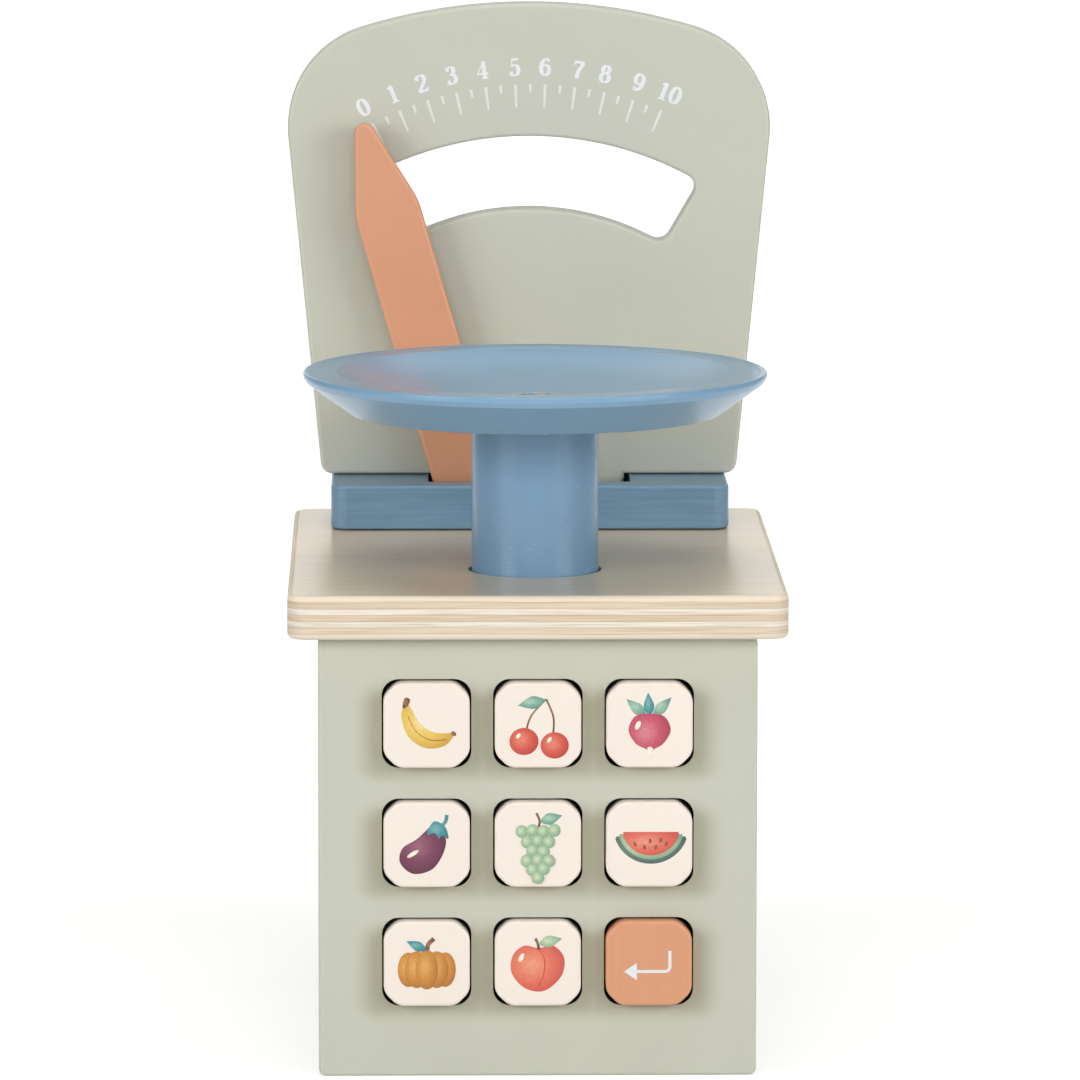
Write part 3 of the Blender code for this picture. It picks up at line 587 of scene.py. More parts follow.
def ply_edge(name):
    """Edge of the plywood, with one colour for each ply and a thin line of glue between them."""
    material, tree, spot = new_material(name)
    wave = tree.noise(spot, 1.0, 3.0, (26.0, 26.0, 4.0))
    height = tree.add("ShaderNodeSeparateXYZ", {0: spot}).outputs["Z"]
    bent = tree.maths("MULTIPLY_ADD", wave, 0.0006, height)
    depth = tree.remap(bent, PLY_BOTTOM + PLY_SHIFT, PLY_TOP + PLY_SHIFT, 0.0, 1.0)
    bands = tree.add("ShaderNodeValToRGB", {0: depth})
    stops = bands.color_ramp.elements
    stops[0].color, stops[1].color = linear(PLIES[0]), linear(PLIES[-1])
    for number in range(1, len(PLIES)):
        line = number / len(PLIES)
        for offset, colour in ((-GLUE_SHARE, PLIES[number - 1]), (0.0, GLUE), (GLUE_SHARE, PLIES[number])):
            stops.new(line + offset).color = linear(colour)
    streak = tree.noise(spot, 1.0, 6.0, (60.0, 60.0, 3200.0))
    rounded = tree.add("ShaderNodeAttribute", attribute_name="arris").outputs["Fac"]
    plain = tree.maths("SUBTRACT", 1.0, rounded)
    sawn = tree.maths("MULTIPLY", tree.remap(streak, 0.42, 0.72, 0.0, 0.46), plain)
    streaked = tree.mix(sawn, bands.outputs[0], linear(STREAK))
    sheen = tree.remap(tree.noise(spot, 1900.0, 2.0), 0.0, 1.0, 0.48, 0.66)
    tree.principled(streaked, sheen, tree.bump(0.25, 0.00008, streak))
    return material


def veneer(name, colour, dark, rough, stretch, coat=0.0):
    """Wood face with long grain lines and short pores."""
    material, tree, spot = new_material(name)
    grain = tree.noise(spot, 1.0, 6.0, stretch, Distortion=0.4)
    wood_tone = tree.mix(tree.remap(grain, 0.36, 0.66, 0.0, 1.0), linear(colour), linear(dark))
    pores = tree.remap(tree.noise(spot, 1.0, 1.0, [4 * s for s in stretch]), 0.62, 0.72, 0.0, 0.35)
    pored = tree.mix(pores, wood_tone, linear(dark, 0.75))
    lacquer = {"Coat Weight": coat, "Coat Roughness": 0.22}
    tree.principled(pored, rough, tree.bump(0.12, 0.00006, grain), lacquer)
    return material


birch_edge = ply_edge("birch_plywood_sanded_edge")
along_board = (30.0, 420.0, 420.0)
birch_face = veneer("birch_face_veneer_satin_lacquer", "#EAD6B8", "#E3CDAE", 0.36, along_board, 0.35)
beech = veneer("beech_planed_unfinished", "#D9B48C", "#C2966B", 0.62, (260.0, 260.0, 16.0))
print("plywood edge, face veneer and bare beech")

# %% [markdown]
# ## Burnt edges, painted shade and steel
# The key holes were cut with a laser, which leaves a thin charred skin on the fibreboard. The same near black
# finish lies on the keys' flanges and spring pegs as painted shade behind the panel, so each key has a black
# outline. The screws and springs are bright zinc plated steel, a metal, so its colour sits in the reflection
# and fine drawing marks roughen it.

# %% Burnt edge, painted shade and zinc steel
def charred_edge(name):
    """Matt near black with brown fibres: the charred wall of a laser cut, and painted shade on the keys'
    flanges and pegs.
    """
    material, tree, spot = new_material(name)
    fibre = tree.noise(spot, 1300.0, 3.0)
    char = tree.mix(fibre, linear("#0C0A09"), linear("#2A211B"))
    tree.principled(char, 0.9, tree.bump(0.5, 0.0001, fibre), {"Specular IOR Level": 0.2})
    return material


def zinc(name):
    """Bright zinc plate over drawn steel."""
    material, tree, spot = new_material(name)
    spangle = tree.noise(spot, 700.0, 4.0)
    tone = tree.mix(spangle, linear("#AEB3B8"), linear("#D5D7D8"))
    sheen = tree.remap(spangle, 0.0, 1.0, 0.24, 0.42)
    tree.principled(tone, sheen, tree.bump(0.1, 0.00003, spangle), {"Metallic": 1.0})
    return material


# Near black for the charred hole walls, and painted shade on the key flanges and pegs.
char_and_painted_shade = charred_edge("laser_char_and_painted_shade_black")
steel = zinc("zinc_plated_steel")
print("burnt edge and zinc steel")

# %% [markdown]
# ## The laser's smoke mark and painted key shade
# Smoke leaves a brown haze on the paint, strongest at the rim of each key hole. Over it lies painted shade,
# where the keys stand proud and keep the side lamps' light off the panel: the darkening reaches eight
# millimetres to each side and a little downwards, and hardly any lies above a hole. Its strength follows from
# the distance to the nearest hole: snapping a place to the grid of keys gives the nearest key's middle, and
# each side's distance is divided by the darkening's reach to that side.

# %% The laser's smoke mark and painted key shade
KEY_PITCH_X, KEY_PITCH_Z, KEY_MIDDLE_Z = 0.0276, 0.0300, 0.0591
HOLE_HALF = 0.0111
# Reaches and colour of the smoke haze with the painted shade of the keys.
SMOKE_SHADE_SIDE, SMOKE_SHADE_UP, SMOKE_SHADE_DOWN, SMOKE_SHADE_START = 0.0080, 0.0075, 0.0048, 0.0068
SMOKE_AND_SHADE_COLOUR = (0.78, 0.755, 0.67, 1.0)


def smoke_mark(tree, spot, colour):
    """The paint's colour with the smoke haze and the painted shade of the keys laid over it round the key
    holes.
    """
    from_middle = tree.vectors("SUBTRACT", spot, (0.0, 0.0, KEY_MIDDLE_Z))
    shifted = tree.vectors("ADD", from_middle, (KEY_PITCH_X / 2, 0.0, KEY_PITCH_Z / 2))
    snapped = tree.vectors("SNAP", shifted, (KEY_PITCH_X, 1.0, KEY_PITCH_Z))
    not_left = tree.vectors("MAXIMUM", snapped, (-KEY_PITCH_X, -1.0, -KEY_PITCH_Z))
    nearest = tree.vectors("MINIMUM", not_left, (KEY_PITCH_X, 1.0, KEY_PITCH_Z))
    from_key = tree.vectors("SUBTRACT", from_middle, nearest)
    mirrored = tree.vectors("MULTIPLY", from_key, (-1.0, 0.0, -1.0))
    right_top, left_foot = (HOLE_HALF, 0.0, HOLE_HALF - SMOKE_SHADE_START), (HOLE_HALF, 0.0, HOLE_HALF)
    past_right_top = tree.vectors("SUBTRACT", from_key, right_top)
    past_left_foot = tree.vectors("SUBTRACT", mirrored, left_foot)
    up_share = tree.vectors("MULTIPLY", past_right_top, (1 / SMOKE_SHADE_SIDE, 0.0, 1 / SMOKE_SHADE_UP))
    down_share = tree.vectors("MULTIPLY", past_left_foot, (1 / SMOKE_SHADE_SIDE, 0.0, 1 / SMOKE_SHADE_DOWN))
    outside = tree.vectors("MAXIMUM", tree.vectors("MAXIMUM", up_share, down_share), (0.0, 0.0, 0.0))
    reach = tree.vectors("LENGTH", outside)
    # Strength of the smoke haze and the painted key shade, fading with the distance from the hole.
    smoke_and_shade = tree.remap(reach, 0.1, 1.0, 1.0, 0.0, interpolation_type="SMOOTHSTEP")
    return tree.mix(smoke_and_shade, colour, SMOKE_AND_SHADE_COLOUR, blend_type="MULTIPLY")


# The front panel's paint carries the smoke haze and the painted shade of the keys.
sage_panel = satin_paint("sage_satin_paint_with_smoke_and_painted_key_shade", "#C4C6B8", 0.44, stain_and_shade=smoke_mark)
print("paint with smoke marks")

# %% [markdown]
# ## The painted box
# Four fibreboard panels make the box. The front one has nine holes for the keys: their walls take the burnt
# finish and have no rounding, because the laser cut them after the paint. The numbers repeat those of the
# solids.

# %% The painted box
BOX_FRONT_Y, BOX_HEIGHT, WALL = -0.070, 0.1105, 0.008


def key_centres():
    """Middle of each key, row by row from the top left."""
    for row in (1, 0, -1):
        for column in (-1, 0, 1):
            yield column * KEY_PITCH_X, KEY_MIDDLE_Z + row * KEY_PITCH_Z


def block(low, high, ease):
    """Sawn block with rounded arrises."""
    work = bmesh.new()
    bmesh.ops.create_cube(work, size=1.0)
    bmesh.ops.scale(work, vec=Vector(high) - Vector(low), verts=work.verts)
    bmesh.ops.translate(work, vec=(Vector(high) + Vector(low)) / 2, verts=work.verts)
    bmesh.ops.bevel(work, geom=work.edges, offset=ease, segments=4, profile=0.5, affect="EDGES")
    return work


panel = rounded_box((0.0, BOX_HEIGHT / 2), 0.109, BOX_HEIGHT, 0.0018)
holes = [rounded_box(centre, 0.0222, 0.0222, 0.0042) for centre in key_centres()]
eases, slots = [0.001] + [0.0] * len(holes), [0] + [1] * len(holes)
front = plate([panel, *holes], WALL, eases, (0.0, BOX_FRONT_Y + WALL / 2, 0.0), True, slots)
place("front_board", front, [sage_panel, char_and_painted_shade], "box", "sage_paint", ["front_panel"])
rear = plate([panel, circle((0.0, 0.0771), 0.0033)], WALL, [0.001, 0.0], (0.0, 0.0760, 0.0), True)
place("rear_board", rear, [sage], "box", "sage_paint", ["rear_panel"])
for side, node in (("left", "left_panel"), ("right", "right_panel")):
    low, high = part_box(node)
    place(f"{side}_board", block(low, high, 0.0006), [sage], "box", "sage_paint", [node])

# %% [markdown]
# ## The plywood top
# The board's faces take the veneer, and every wall and rounding takes the ply edge. The hole for the column
# and the slot for the pointer are drilled and milled, so they show the plies too.

# %% The plywood top
top_loops = [
    rounded_box((0.0, 0.00495), 0.124, 0.1623, 0.005),
    circle((0.0, DISH_Y), 0.0167, 96),
    rounded_box((0.0, 0.05685), 0.053, 0.0135, 0.002),
    circle((-0.040, 0.060), 0.0020, 24),
    circle((0.040, 0.060), 0.0020, 24),
]
top = plate(top_loops, 0.011, [0.0013, 0.0004, 0.0004, 0.0, 0.0], (0.0, 0.0, 0.1163), False, [1] * 5)
place("plywood_top", top, [birch_face, birch_edge], "box", "birch_plywood", ["top_board"])

# %% [markdown]
# ## The bar and the dial board
# The blue bar is a sawn strip with a milled slot that takes the board's tenon and lets the pointer pass.
# The dial board's outline is made of arcs that meet without a kink: two straight sides, two round shoulders
# and a flat dome. Its window is a ring segment about the sweep of the pointer.

# %% The bar and the dial board
bar_loops = [
    rounded_box((0.0, 0.0605), 0.104, 0.038, 0.0045),
    rounded_box((0.0, 0.0615), 0.053, 0.0228, 0.0006, 4),
]
bar = plate(bar_loops, 0.0115, [0.0009, 0.0004], (0.0, 0.0, 0.12785))
place("blue_bar", bar, [blue], "box", "blue_paint", ["slot_bar"])

DIAL_TOP_Z, DIAL_UNDER_Z, BAR_UNDER_Z = 0.25805, 0.1339, 0.1221
SIDE_SLOPE, BASE_HALF, TENON_HALF = 0.0960, 0.0546, 0.0251


def dial_outline():
    """Leaning sides, round shoulders, a flat dome, and the tenon below."""
    corner_radius, head_radius, foot_radius = 0.0272, 0.1500, 0.0032
    head = (0.0, DIAL_TOP_Z - head_radius)
    lean = math.atan(SIDE_SLOPE)
    offset = BASE_HALF - corner_radius / math.cos(lean)
    rise = head[1] - DIAL_UNDER_Z
    a = 1 + SIDE_SLOPE**2
    b = 2 * (SIDE_SLOPE * offset - rise)
    c = rise**2 + offset**2 - (head_radius - corner_radius) ** 2
    height = (-b + math.sqrt(b * b - 4 * a * c)) / (2 * a)
    corner = (offset + SIDE_SLOPE * height, DIAL_UNDER_Z + height)
    side_turn = -math.degrees(lean)
    head_turn = math.degrees(math.atan2(corner[1] - head[1], corner[0] - head[0]))
    foot = (BASE_HALF + SIDE_SLOPE * foot_radius - foot_radius / math.cos(lean), DIAL_UNDER_Z + foot_radius)
    half = arc(foot, foot_radius, -90, side_turn, 8)
    half += arc(corner, corner_radius, side_turn, head_turn, 28)
    half += arc(head, head_radius, head_turn, 90, 22)[1:]
    other = [(-x, z) for x, z in reversed(half[:-1])]
    tenon = [(-TENON_HALF, DIAL_UNDER_Z), (-TENON_HALF, BAR_UNDER_Z), (TENON_HALF, BAR_UNDER_Z)]
    return half + other + tenon + [(TENON_HALF, DIAL_UNDER_Z)]


def window_outline(outer=0.0886, inner=0.0696, half_angle=30.4, corner=0.0035, centre_z=0.1345):
    """Ring segment with rounded corners, its outer arc first and then its inner one."""
    points = []
    for ring, way, first, last in ((outer, -1, -1, 1), (inner, 1, 1, -1)):
        reach = ring + way * corner
        inset_angle = math.degrees(math.asin(corner / reach))
        for end in (first, last):
            middle_turn = 90 + end * (half_angle - inset_angle)
            spot_x = reach * math.cos(math.radians(middle_turn))
            spot_z = centre_z + reach * math.sin(math.radians(middle_turn))
            outward = middle_turn if way < 0 else middle_turn + 180
            sideways = middle_turn + end * 90
            turn = (outward - sideways + 180) % 360 - 180
            corner_arc = arc((spot_x, spot_z), corner, sideways, sideways + turn, 8)
            points += corner_arc if end == first else corner_arc[::-1]
            if end == first:
                sweep = 90 - (90 + end * (half_angle - inset_angle))
                points += arc((0.0, centre_z), ring, middle_turn, middle_turn + 2 * sweep, 48)[1:-1]
    return points


dial = plate([dial_outline(), window_outline()], 0.009, [0.0011, 0.0011], (0.0, 0.0681, 0.0), True)
place("dial_face_board", dial, [sage], "box", "sage_paint", ["dial_board"])

# %% [markdown]
# ## The dish and its column
# The dish is turned from one board: a shallow well, a level ring round it and a blunt lip that catches a
# bright line. The well is nearly flat in the middle and its height grows with the cube of the radius, so it
# steepens towards the ring. Each corner of the profile carries a radius. The column is a plain turned post
# with softened ends.

# %% The dish and its column
WELL_FLOOR, WELL_RADIUS, WELL_RISE = 0.0042, 0.0500, 0.0062
bowl = []
for step in range(25):
    radius = 0.0056 + (WELL_RADIUS - 0.0056) * step / 24
    bowl.append((radius, WELL_FLOOR + WELL_RISE * (radius / WELL_RADIUS) ** 3, 0.0))
bowl[-1] = (*bowl[-1][:2], 0.0006)
dish_profile = round_corners(
    [
        (0.0, 0.0018, 0.0),
        (0.0052, 0.0018, 0.0),
        (0.0052, 0.0042, 0.0002),
        *bowl,
        (0.0560, 0.0104, 0.0),
        (0.0564, 0.0106, 0.0),
        (0.0584, 0.0106, 0.0006),
        (0.0584, 0.0092, 0.0009),
        (0.0575, 0.0079, 0.0005),
        (0.0466, 0.0, 0.0016),
        (0.0023, 0.0, 0.0),
        (0.0023, 0.0015, 0.0),
        (0.0, 0.0015, 0.0),
    ],
    8,
)
dish = turned(dish_profile, (0.0, DISH_Y, DISH_Z), 200)
place("turned_dish", dish, [blue_dish], "dish", "blue_paint", ["dish"])

column_profile = round_corners(
    [
        (0.0, 0.1463, 0.0),
        (0.0017, 0.1473, 0.0),
        (0.0017, 0.1613, 0.0),
        (0.0160, 0.1613, 0.0005),
        (0.0160, 0.1108, 0.0005),
        (0.0049, 0.1108, 0.0),
        (0.0049, 0.1410, 0.0),
        (0.0, 0.1425, 0.0),
    ],
    5,
)
column = turned(column_profile, (0.0, DISH_Y, 0.0), 128)
place("turned_column", column, [blue_column], "dish", "blue_paint", ["dish_column"])

# %% [markdown]
# ## The pointer
# A thin sawn lath with soft shoulders, whose head tapers to a small round tip. It stands at sixteen degrees
# from the vertical at rest, so its outline is drawn upright about the axle and the finished plate is then
# turned in its mesh.

# %% The pointer
PIVOT = Vector((0.0, 0.0576, 0.0771))
POINTER_LENGTH, POINTER_HALF, REST_ANGLE = 0.1561, 0.0086, -16.3
HEAD_TAPER, SHOULDER_RADIUS, TIP_RADIUS = 16.0, 0.020, 0.0026


def pointer_outline():
    """Straight arm with a round foot, soft shoulders and a head that tapers to a small round tip."""
    taper = math.radians(HEAD_TAPER)
    tip_middle = POINTER_LENGTH - TIP_RADIUS
    peak = tip_middle + TIP_RADIUS / math.sin(taper)
    bend_start = peak - POINTER_HALF / math.tan(taper) - SHOULDER_RADIUS * math.tan(taper / 2)
    half = arc((0.0, 0.0), POINTER_HALF, -90, 0, 12)
    half += arc((POINTER_HALF - SHOULDER_RADIUS, bend_start), SHOULDER_RADIUS, 0, HEAD_TAPER, 12)
    half += arc((0.0, tip_middle), TIP_RADIUS, HEAD_TAPER, 90, 12)
    return half + [(-x, z) for x, z in reversed(half[1:-1])]


pointer = plate([pointer_outline(), circle((0.0, 0.0), 0.0033, 24)], 0.006, [0.0009, 0.0], (0, 0, 0), True)
lean = Matrix.Translation(PIVOT) @ Matrix.Rotation(math.radians(REST_ANGLE), 4, "Y")
bmesh.ops.transform(pointer, matrix=lean, verts=pointer.verts)
place("orange_pointer", pointer, [orange], "pointer", "orange_paint", ["pointer"])

# %% [markdown]
# ## The keys
# Each key is a square cap on a wider flange that keeps it behind the panel. The cap's corners are cut and
# softened, more than those of the holes, so dark triangles show there. The flange and the spring peg take the
# near black finish as painted shade, because hardly any light falls behind the panel.

# %% The keys
KEY_PROUD, FLANGE_Y, FLANGE_SIDE, FLANGE_THICKNESS = 0.0035, -0.0617, 0.0254, 0.002
CAP_HALF, CAP_CUT, CAP_SOFTEN, CAP_OVERLAP = 0.0107, 0.0035, 0.0042, 0.0004


def cut_square(centre, half, cut, soften):
    """Outline of a square whose corners are cut at 45 degrees, with the ends of the cuts softened."""
    near = half - cut
    corners = [(near, -half), (half, -near), (half, near), (near, half)]
    corners += [(-x, -z) for x, z in corners]
    outline = round_corners([(0.0, -half), *[(x, z, soften) for x, z in corners], (0.0, -half)], 6)
    return [(centre[0] + x, centre[1] + z) for x, z in outline[:-1]]


def key_shape(centre):
    """Cap, flange and spring peg of a key as one mesh of closed shells."""
    front_y = BOX_FRONT_Y - KEY_PROUD
    depth = FLANGE_Y + CAP_OVERLAP - front_y
    cap_loop = cut_square(centre, CAP_HALF, CAP_CUT, CAP_SOFTEN)
    cap = plate([cap_loop], depth, [0.0008], (0.0, front_y + depth / 2, 0.0), True)
    flange_loop = rounded_box(centre, FLANGE_SIDE, FLANGE_SIDE, 0.002, 6)
    flange = plate([flange_loop], FLANGE_THICKNESS, [0.0003], (0.0, FLANGE_Y + 0.001, 0.0), True)
    peg = turned([(0.0, 0.0), (0.0024, 0.0), (0.0022, 0.0020), (0.0, 0.0020)], (0, 0, 0), 24)
    peg_place = Matrix.Translation((centre[0], FLANGE_Y + 0.0018, centre[1]))
    turn = peg_place @ Matrix.Rotation(math.radians(-90), 4, "X")
    bmesh.ops.transform(peg, matrix=turn, verts=peg.verts)
    # The flange and the peg take the near black finish in slot 1: painted shade behind the panel.
    for part in (flange, peg):
        for face in part.faces:
            face.material_index = 1
        extra = mesh_of("key_part", part)
        cap.from_mesh(extra)
        bpy.data.meshes.remove(extra)
    return cap


for number, centre in enumerate(key_centres(), start=1):
    paint, slot = (orange, "orange_paint") if number == 9 else (cream, "cream_paint")
    place(f"key_cap_{number}", key_shape(centre), [paint, char_and_painted_shade], f"key_{number}", slot, [f"key_{number}"])

# %% [markdown]
# ## White figures
# The dial is printed in off-white ink, a few hundredths of a millimetre thick. Bold figures with thick
# upright and thin level strokes can be drawn as a broad pen writes them: each stroke is a line, and its
# width follows its direction. Catmull-Rom curves run through the listed points, so a figure needs only a
# handful of them.

# %% A pen that draws figures
def curve_between(a, b, c, d, steps):
    """Catmull-Rom curve from the second of four points to the third."""
    made = []
    for step in range(steps):
        t = step / steps
        point = []
        for k in (0, 1):
            square = 2 * a[k] - 5 * b[k] + 4 * c[k] - d[k]
            cube = 3 * b[k] - a[k] - 3 * c[k] + d[k]
            point.append(0.5 * (2 * b[k] + (c[k] - a[k]) * t + square * t**2 + cube * t**3))
        made.append(tuple(point))
    return made


def through(points, steps=8):
    """Smooth line through the points."""
    padded = [points[0], *points, points[-1]]
    made = []
    for four in zip(padded, padded[1:], padded[2:], padded[3:]):
        made += curve_between(*four, steps)
    return made + [points[-1]]


def pen_stroke(line, thick, thin):
    """Outline of a pen's stroke along a line: thick where it runs upright and thin where it runs level."""
    left, right_side = [], []
    for i, here in enumerate(line):
        before, after = line[max(0, i - 1)], line[min(len(line) - 1, i + 1)]
        way = (Vector(after) - Vector(before)).normalized()
        width = thin + (thick - thin) * abs(way.y) ** 1.5
        sideways = Vector((-way.y, way.x)) * width / 2
        left.append(tuple(Vector(here) + sideways))
        right_side.append(tuple(Vector(here) - sideways))
    return left + right_side[::-1]


def bows(centre, wide, high):
    """The left and the right half of an oval, as lines for the pen."""
    for start in (90, -90):
        half = arc((0, 0), 1.0, start, start + 180, 20)
        yield [(centre[0] + wide * x, centre[1] + high * y) for x, y in half]


THICK, THIN = 0.205, 0.085
PEN = (THICK, THIN)


def even(first, second, width):
    """Straight stroke of one width."""
    return [first, second], (width, width)


def dot(centre, radius):
    return circle(centre, radius, 14), None


def strokes_of(digit):
    """Lines of a figure one unit high, each with its pen's widths, or None for a finished outline."""
    if digit == 0:
        return [(half, PEN) for half in bows((0.31, 0.5), 0.21, 0.455)]
    if digit == 1:
        stem = [(0.32, 0.0), (0.32, 0.98)]
        return [(stem, PEN), even((0.33, 0.95), (0.14, 0.84), 0.1), ([(0.14, 0.03), (0.50, 0.03)], PEN)]
    if digit == 2:
        neck = [(0.11, 0.74), (0.16, 0.91), (0.31, 0.96), (0.45, 0.88), (0.48, 0.72), (0.40, 0.5),
                (0.09, 0.08)]
        foot = [even((0.07, 0.07), (0.52, 0.07), 0.14), even((0.52, 0.03), (0.55, 0.24), 0.06)]
        return [(through(neck), PEN), *foot, dot((0.15, 0.75), 0.075)]
    if digit == 3:
        upper = [(0.12, 0.82), (0.18, 0.93), (0.30, 0.965), (0.42, 0.89), (0.43, 0.71), (0.36, 0.58),
                (0.22, 0.54)]
        lower = [(0.22, 0.54), (0.40, 0.49), (0.48, 0.29), (0.42, 0.11), (0.27, 0.035), (0.14, 0.07),
                (0.09, 0.17)]
        return [(through(upper), PEN), (through(lower), PEN), dot((0.15, 0.79), 0.07),
                dot((0.13, 0.2), 0.075)]
    if digit == 4:
        bar = [even((0.40, 0.96), (0.06, 0.31), 0.06), even((0.03, 0.28), (0.58, 0.28), 0.09)]
        return [*bar, ([(0.40, 0.0), (0.40, 0.98)], PEN), ([(0.26, 0.03), (0.54, 0.03)], PEN)]
    if digit == 5:
        belly = [(0.14, 0.56), (0.27, 0.61), (0.41, 0.55), (0.47, 0.36), (0.42, 0.13), (0.27, 0.035)]
        belly += [(0.13, 0.08), (0.09, 0.17)]
        flag = [even((0.14, 0.92), (0.48, 0.93), 0.12), even((0.17, 0.94), (0.14, 0.53), 0.07)]
        return [(through(belly), PEN), *flag, dot((0.13, 0.2), 0.075)]
    if digit in (6, 9):
        stem = [(0.45, 0.86), (0.36, 0.955), (0.22, 0.85), (0.12, 0.60), (0.11, 0.32), (0.18, 0.11),
                (0.31, 0.035)]
        right_half = list(bows((0.31, 0.325), 0.185, 0.29))[1]
        join = even((0.31, 0.615), (0.15, 0.50), THIN)
        return [(through(stem), PEN), (right_half, PEN), join, dot((0.44, 0.83), 0.07)]
    if digit == 7:
        flag = [even((0.08, 0.91), (0.55, 0.91), 0.14), even((0.09, 0.95), (0.08, 0.73), 0.06)]
        return [*flag, (through([(0.51, 0.88), (0.39, 0.62), (0.28, 0.32), (0.25, 0.0)]), PEN)]
    ovals = (((0.31, 0.745), 0.155, 0.215), ((0.31, 0.28), 0.2, 0.25))
    return [(half, PEN) for oval_of in ovals for half in bows(*oval_of)]


def figure(digit):
    """Outlines of a figure. A nine is a six that stands on its head."""
    outlines = [line if widths is None else pen_stroke(line, *widths) for line, widths in strokes_of(digit)]
    if digit == 9:
        outlines = [[(0.62 - x, 1 - y) for x, y in outline] for outline in outlines]
    return outlines


def add_print(work, outline, front_y, depth, slot=0):
    """Closed film of ink with the given outline, whose visible side is at front_y."""
    if area_of(outline) < 0:
        outline = outline[::-1]
    near = [work.verts.new((x, front_y, z)) for x, z in outline]
    far = [work.verts.new((x, front_y + depth, z)) for x, z in outline]
    faces = [work.faces.new(near), work.faces.new(far[::-1])]
    count = len(outline)
    for i in range(count):
        j = (i + 1) % count
        faces.append(work.faces.new((near[j], near[i], far[i], far[j])))
    for face in faces:
        face.material_index = slot
    return faces


print("pen ready")

# %% [markdown]
# The figures stand on an arc over the tick marks and lean with it. Their ink film starts inside the board's
# paint and ends three hundredths of a millimetre in front of it, so it can't float or flicker. Each stroke
# of a figure stands a little prouder than the one before, so that no two films share a face.

# %% Figures on the dial
DIAL_FRONT_Y = 0.0636
FIGURE_HEIGHT, FIGURE_WIDTH, DIGIT_PITCH, DIGIT_MIDDLE = 0.0047, 1.14, 0.60, 0.31
FIGURE_X, FIGURE_Z, FIGURE_RADIUS = 0.0007, 0.1445, 0.0969
FIGURE_PLACES = (-27.1, -22.1, -17.3, -12.5, -7.7, -2.6, 2.1, 7.3, 11.5, 16.8, 21.9)
FILM, FILM_STEP = 0.00003, 0.000005


def print_ink(name, colour, dark):
    """Screen printed ink: matt, with the fine mottling that the mesh leaves."""
    material, tree, spot = new_material(name)
    tree.principled(tree.mix(tree.noise(spot, 1500.0, 2.0), linear(colour), linear(dark)), 0.55)
    return material


white_ink = print_ink("white_screen_print_ink", "#EFF2F4", "#DDE1E4")
figures = bmesh.new()
for number, turn in enumerate(FIGURE_PLACES):
    angle = math.radians(90 - turn)
    upright = (math.cos(angle), math.sin(angle))
    upward = Vector(upright)
    across = Vector((math.sin(angle), -math.cos(angle)))
    spot = Vector((FIGURE_X + FIGURE_RADIUS * upright[0], FIGURE_Z + FIGURE_RADIUS * upright[1]))
    digits = [int(digit) for digit in str(number)]
    for place_number, digit in enumerate(digits):
        shift = (place_number - (len(digits) - 1) / 2) * DIGIT_PITCH
        for layer, outline in enumerate(figure(digit)):
            film = []
            for x, y in outline:
                step_across = (x - DIGIT_MIDDLE + shift) * FIGURE_WIDTH * across
                film.append(tuple(spot + (step_across + (y - 0.5) * upward) * FIGURE_HEIGHT))
            proud = FILM + FILM_STEP * layer
            add_print(figures, film, DIAL_FRONT_Y - proud, proud + FILM)
place("dial_figures", figures, [white_ink], "box", "sage_paint", film=True)

# %% [markdown]
# ## Tick marks
# Eleven long marks and ten short ones repeat along an arc, which is work for Geometry Nodes: one tapered
# mark is drawn, and copies of it stand on points whose angle follows from their number. Every second one is
# scaled down. The copies are made real at the end, because the finished model keeps no instances.

# %% Tick marks
def new_tree(name, inputs):
    """Geometry Nodes tree with named number inputs. Gives the tree and its inputs."""
    group = bpy.data.node_groups.new(name, "GeometryNodeTree")
    group.interface.new_socket("Geometry", in_out="INPUT", socket_type="NodeSocketGeometry")
    for label in inputs:
        group.interface.new_socket(label, in_out="INPUT", socket_type="NodeSocketFloat")
    group.interface.new_socket("Geometry", in_out="OUTPUT", socket_type="NodeSocketGeometry")
    tree = Tree(group)
    return tree, tree.add("NodeGroupInput").outputs


def finished(tree, geometry, material):
    """Makes instances real, gives the result its material and ends the tree."""
    real = tree.first("GeometryNodeRealizeInstances", {0: geometry})
    inked = tree.first("GeometryNodeSetMaterial", {"Geometry": real, "Material": material})
    tree.add("NodeGroupOutput", {0: inked})
    return tree.tree


def grown(name, group, values):
    """Runs a tree with the given inputs on an empty mesh and returns the plain mesh that it makes."""
    holder = put(name, bpy.data.meshes.new(name))
    modifier = holder.modifiers.new("grow", "NODES")
    modifier.node_group = group
    for item in group.interface.items_tree:
        if item.in_out == "INPUT" and item.name in values:
            modifier[item.identifier] = float(values[item.name])
    return settled(holder)


TICKS = {
    "Radius": 0.08894,
    "First angle": math.radians(-27.8),
    "Step angle": math.radians(2.522),
    "Length": 0.0060,
    "Short share": 0.36,
    "Foot width": 0.00052,
    "Head width": 0.00078,
    "Depth": 0.00006,
}
TICK_COUNT, TICK_CENTRE = 21, (0.0004, 0.14784)


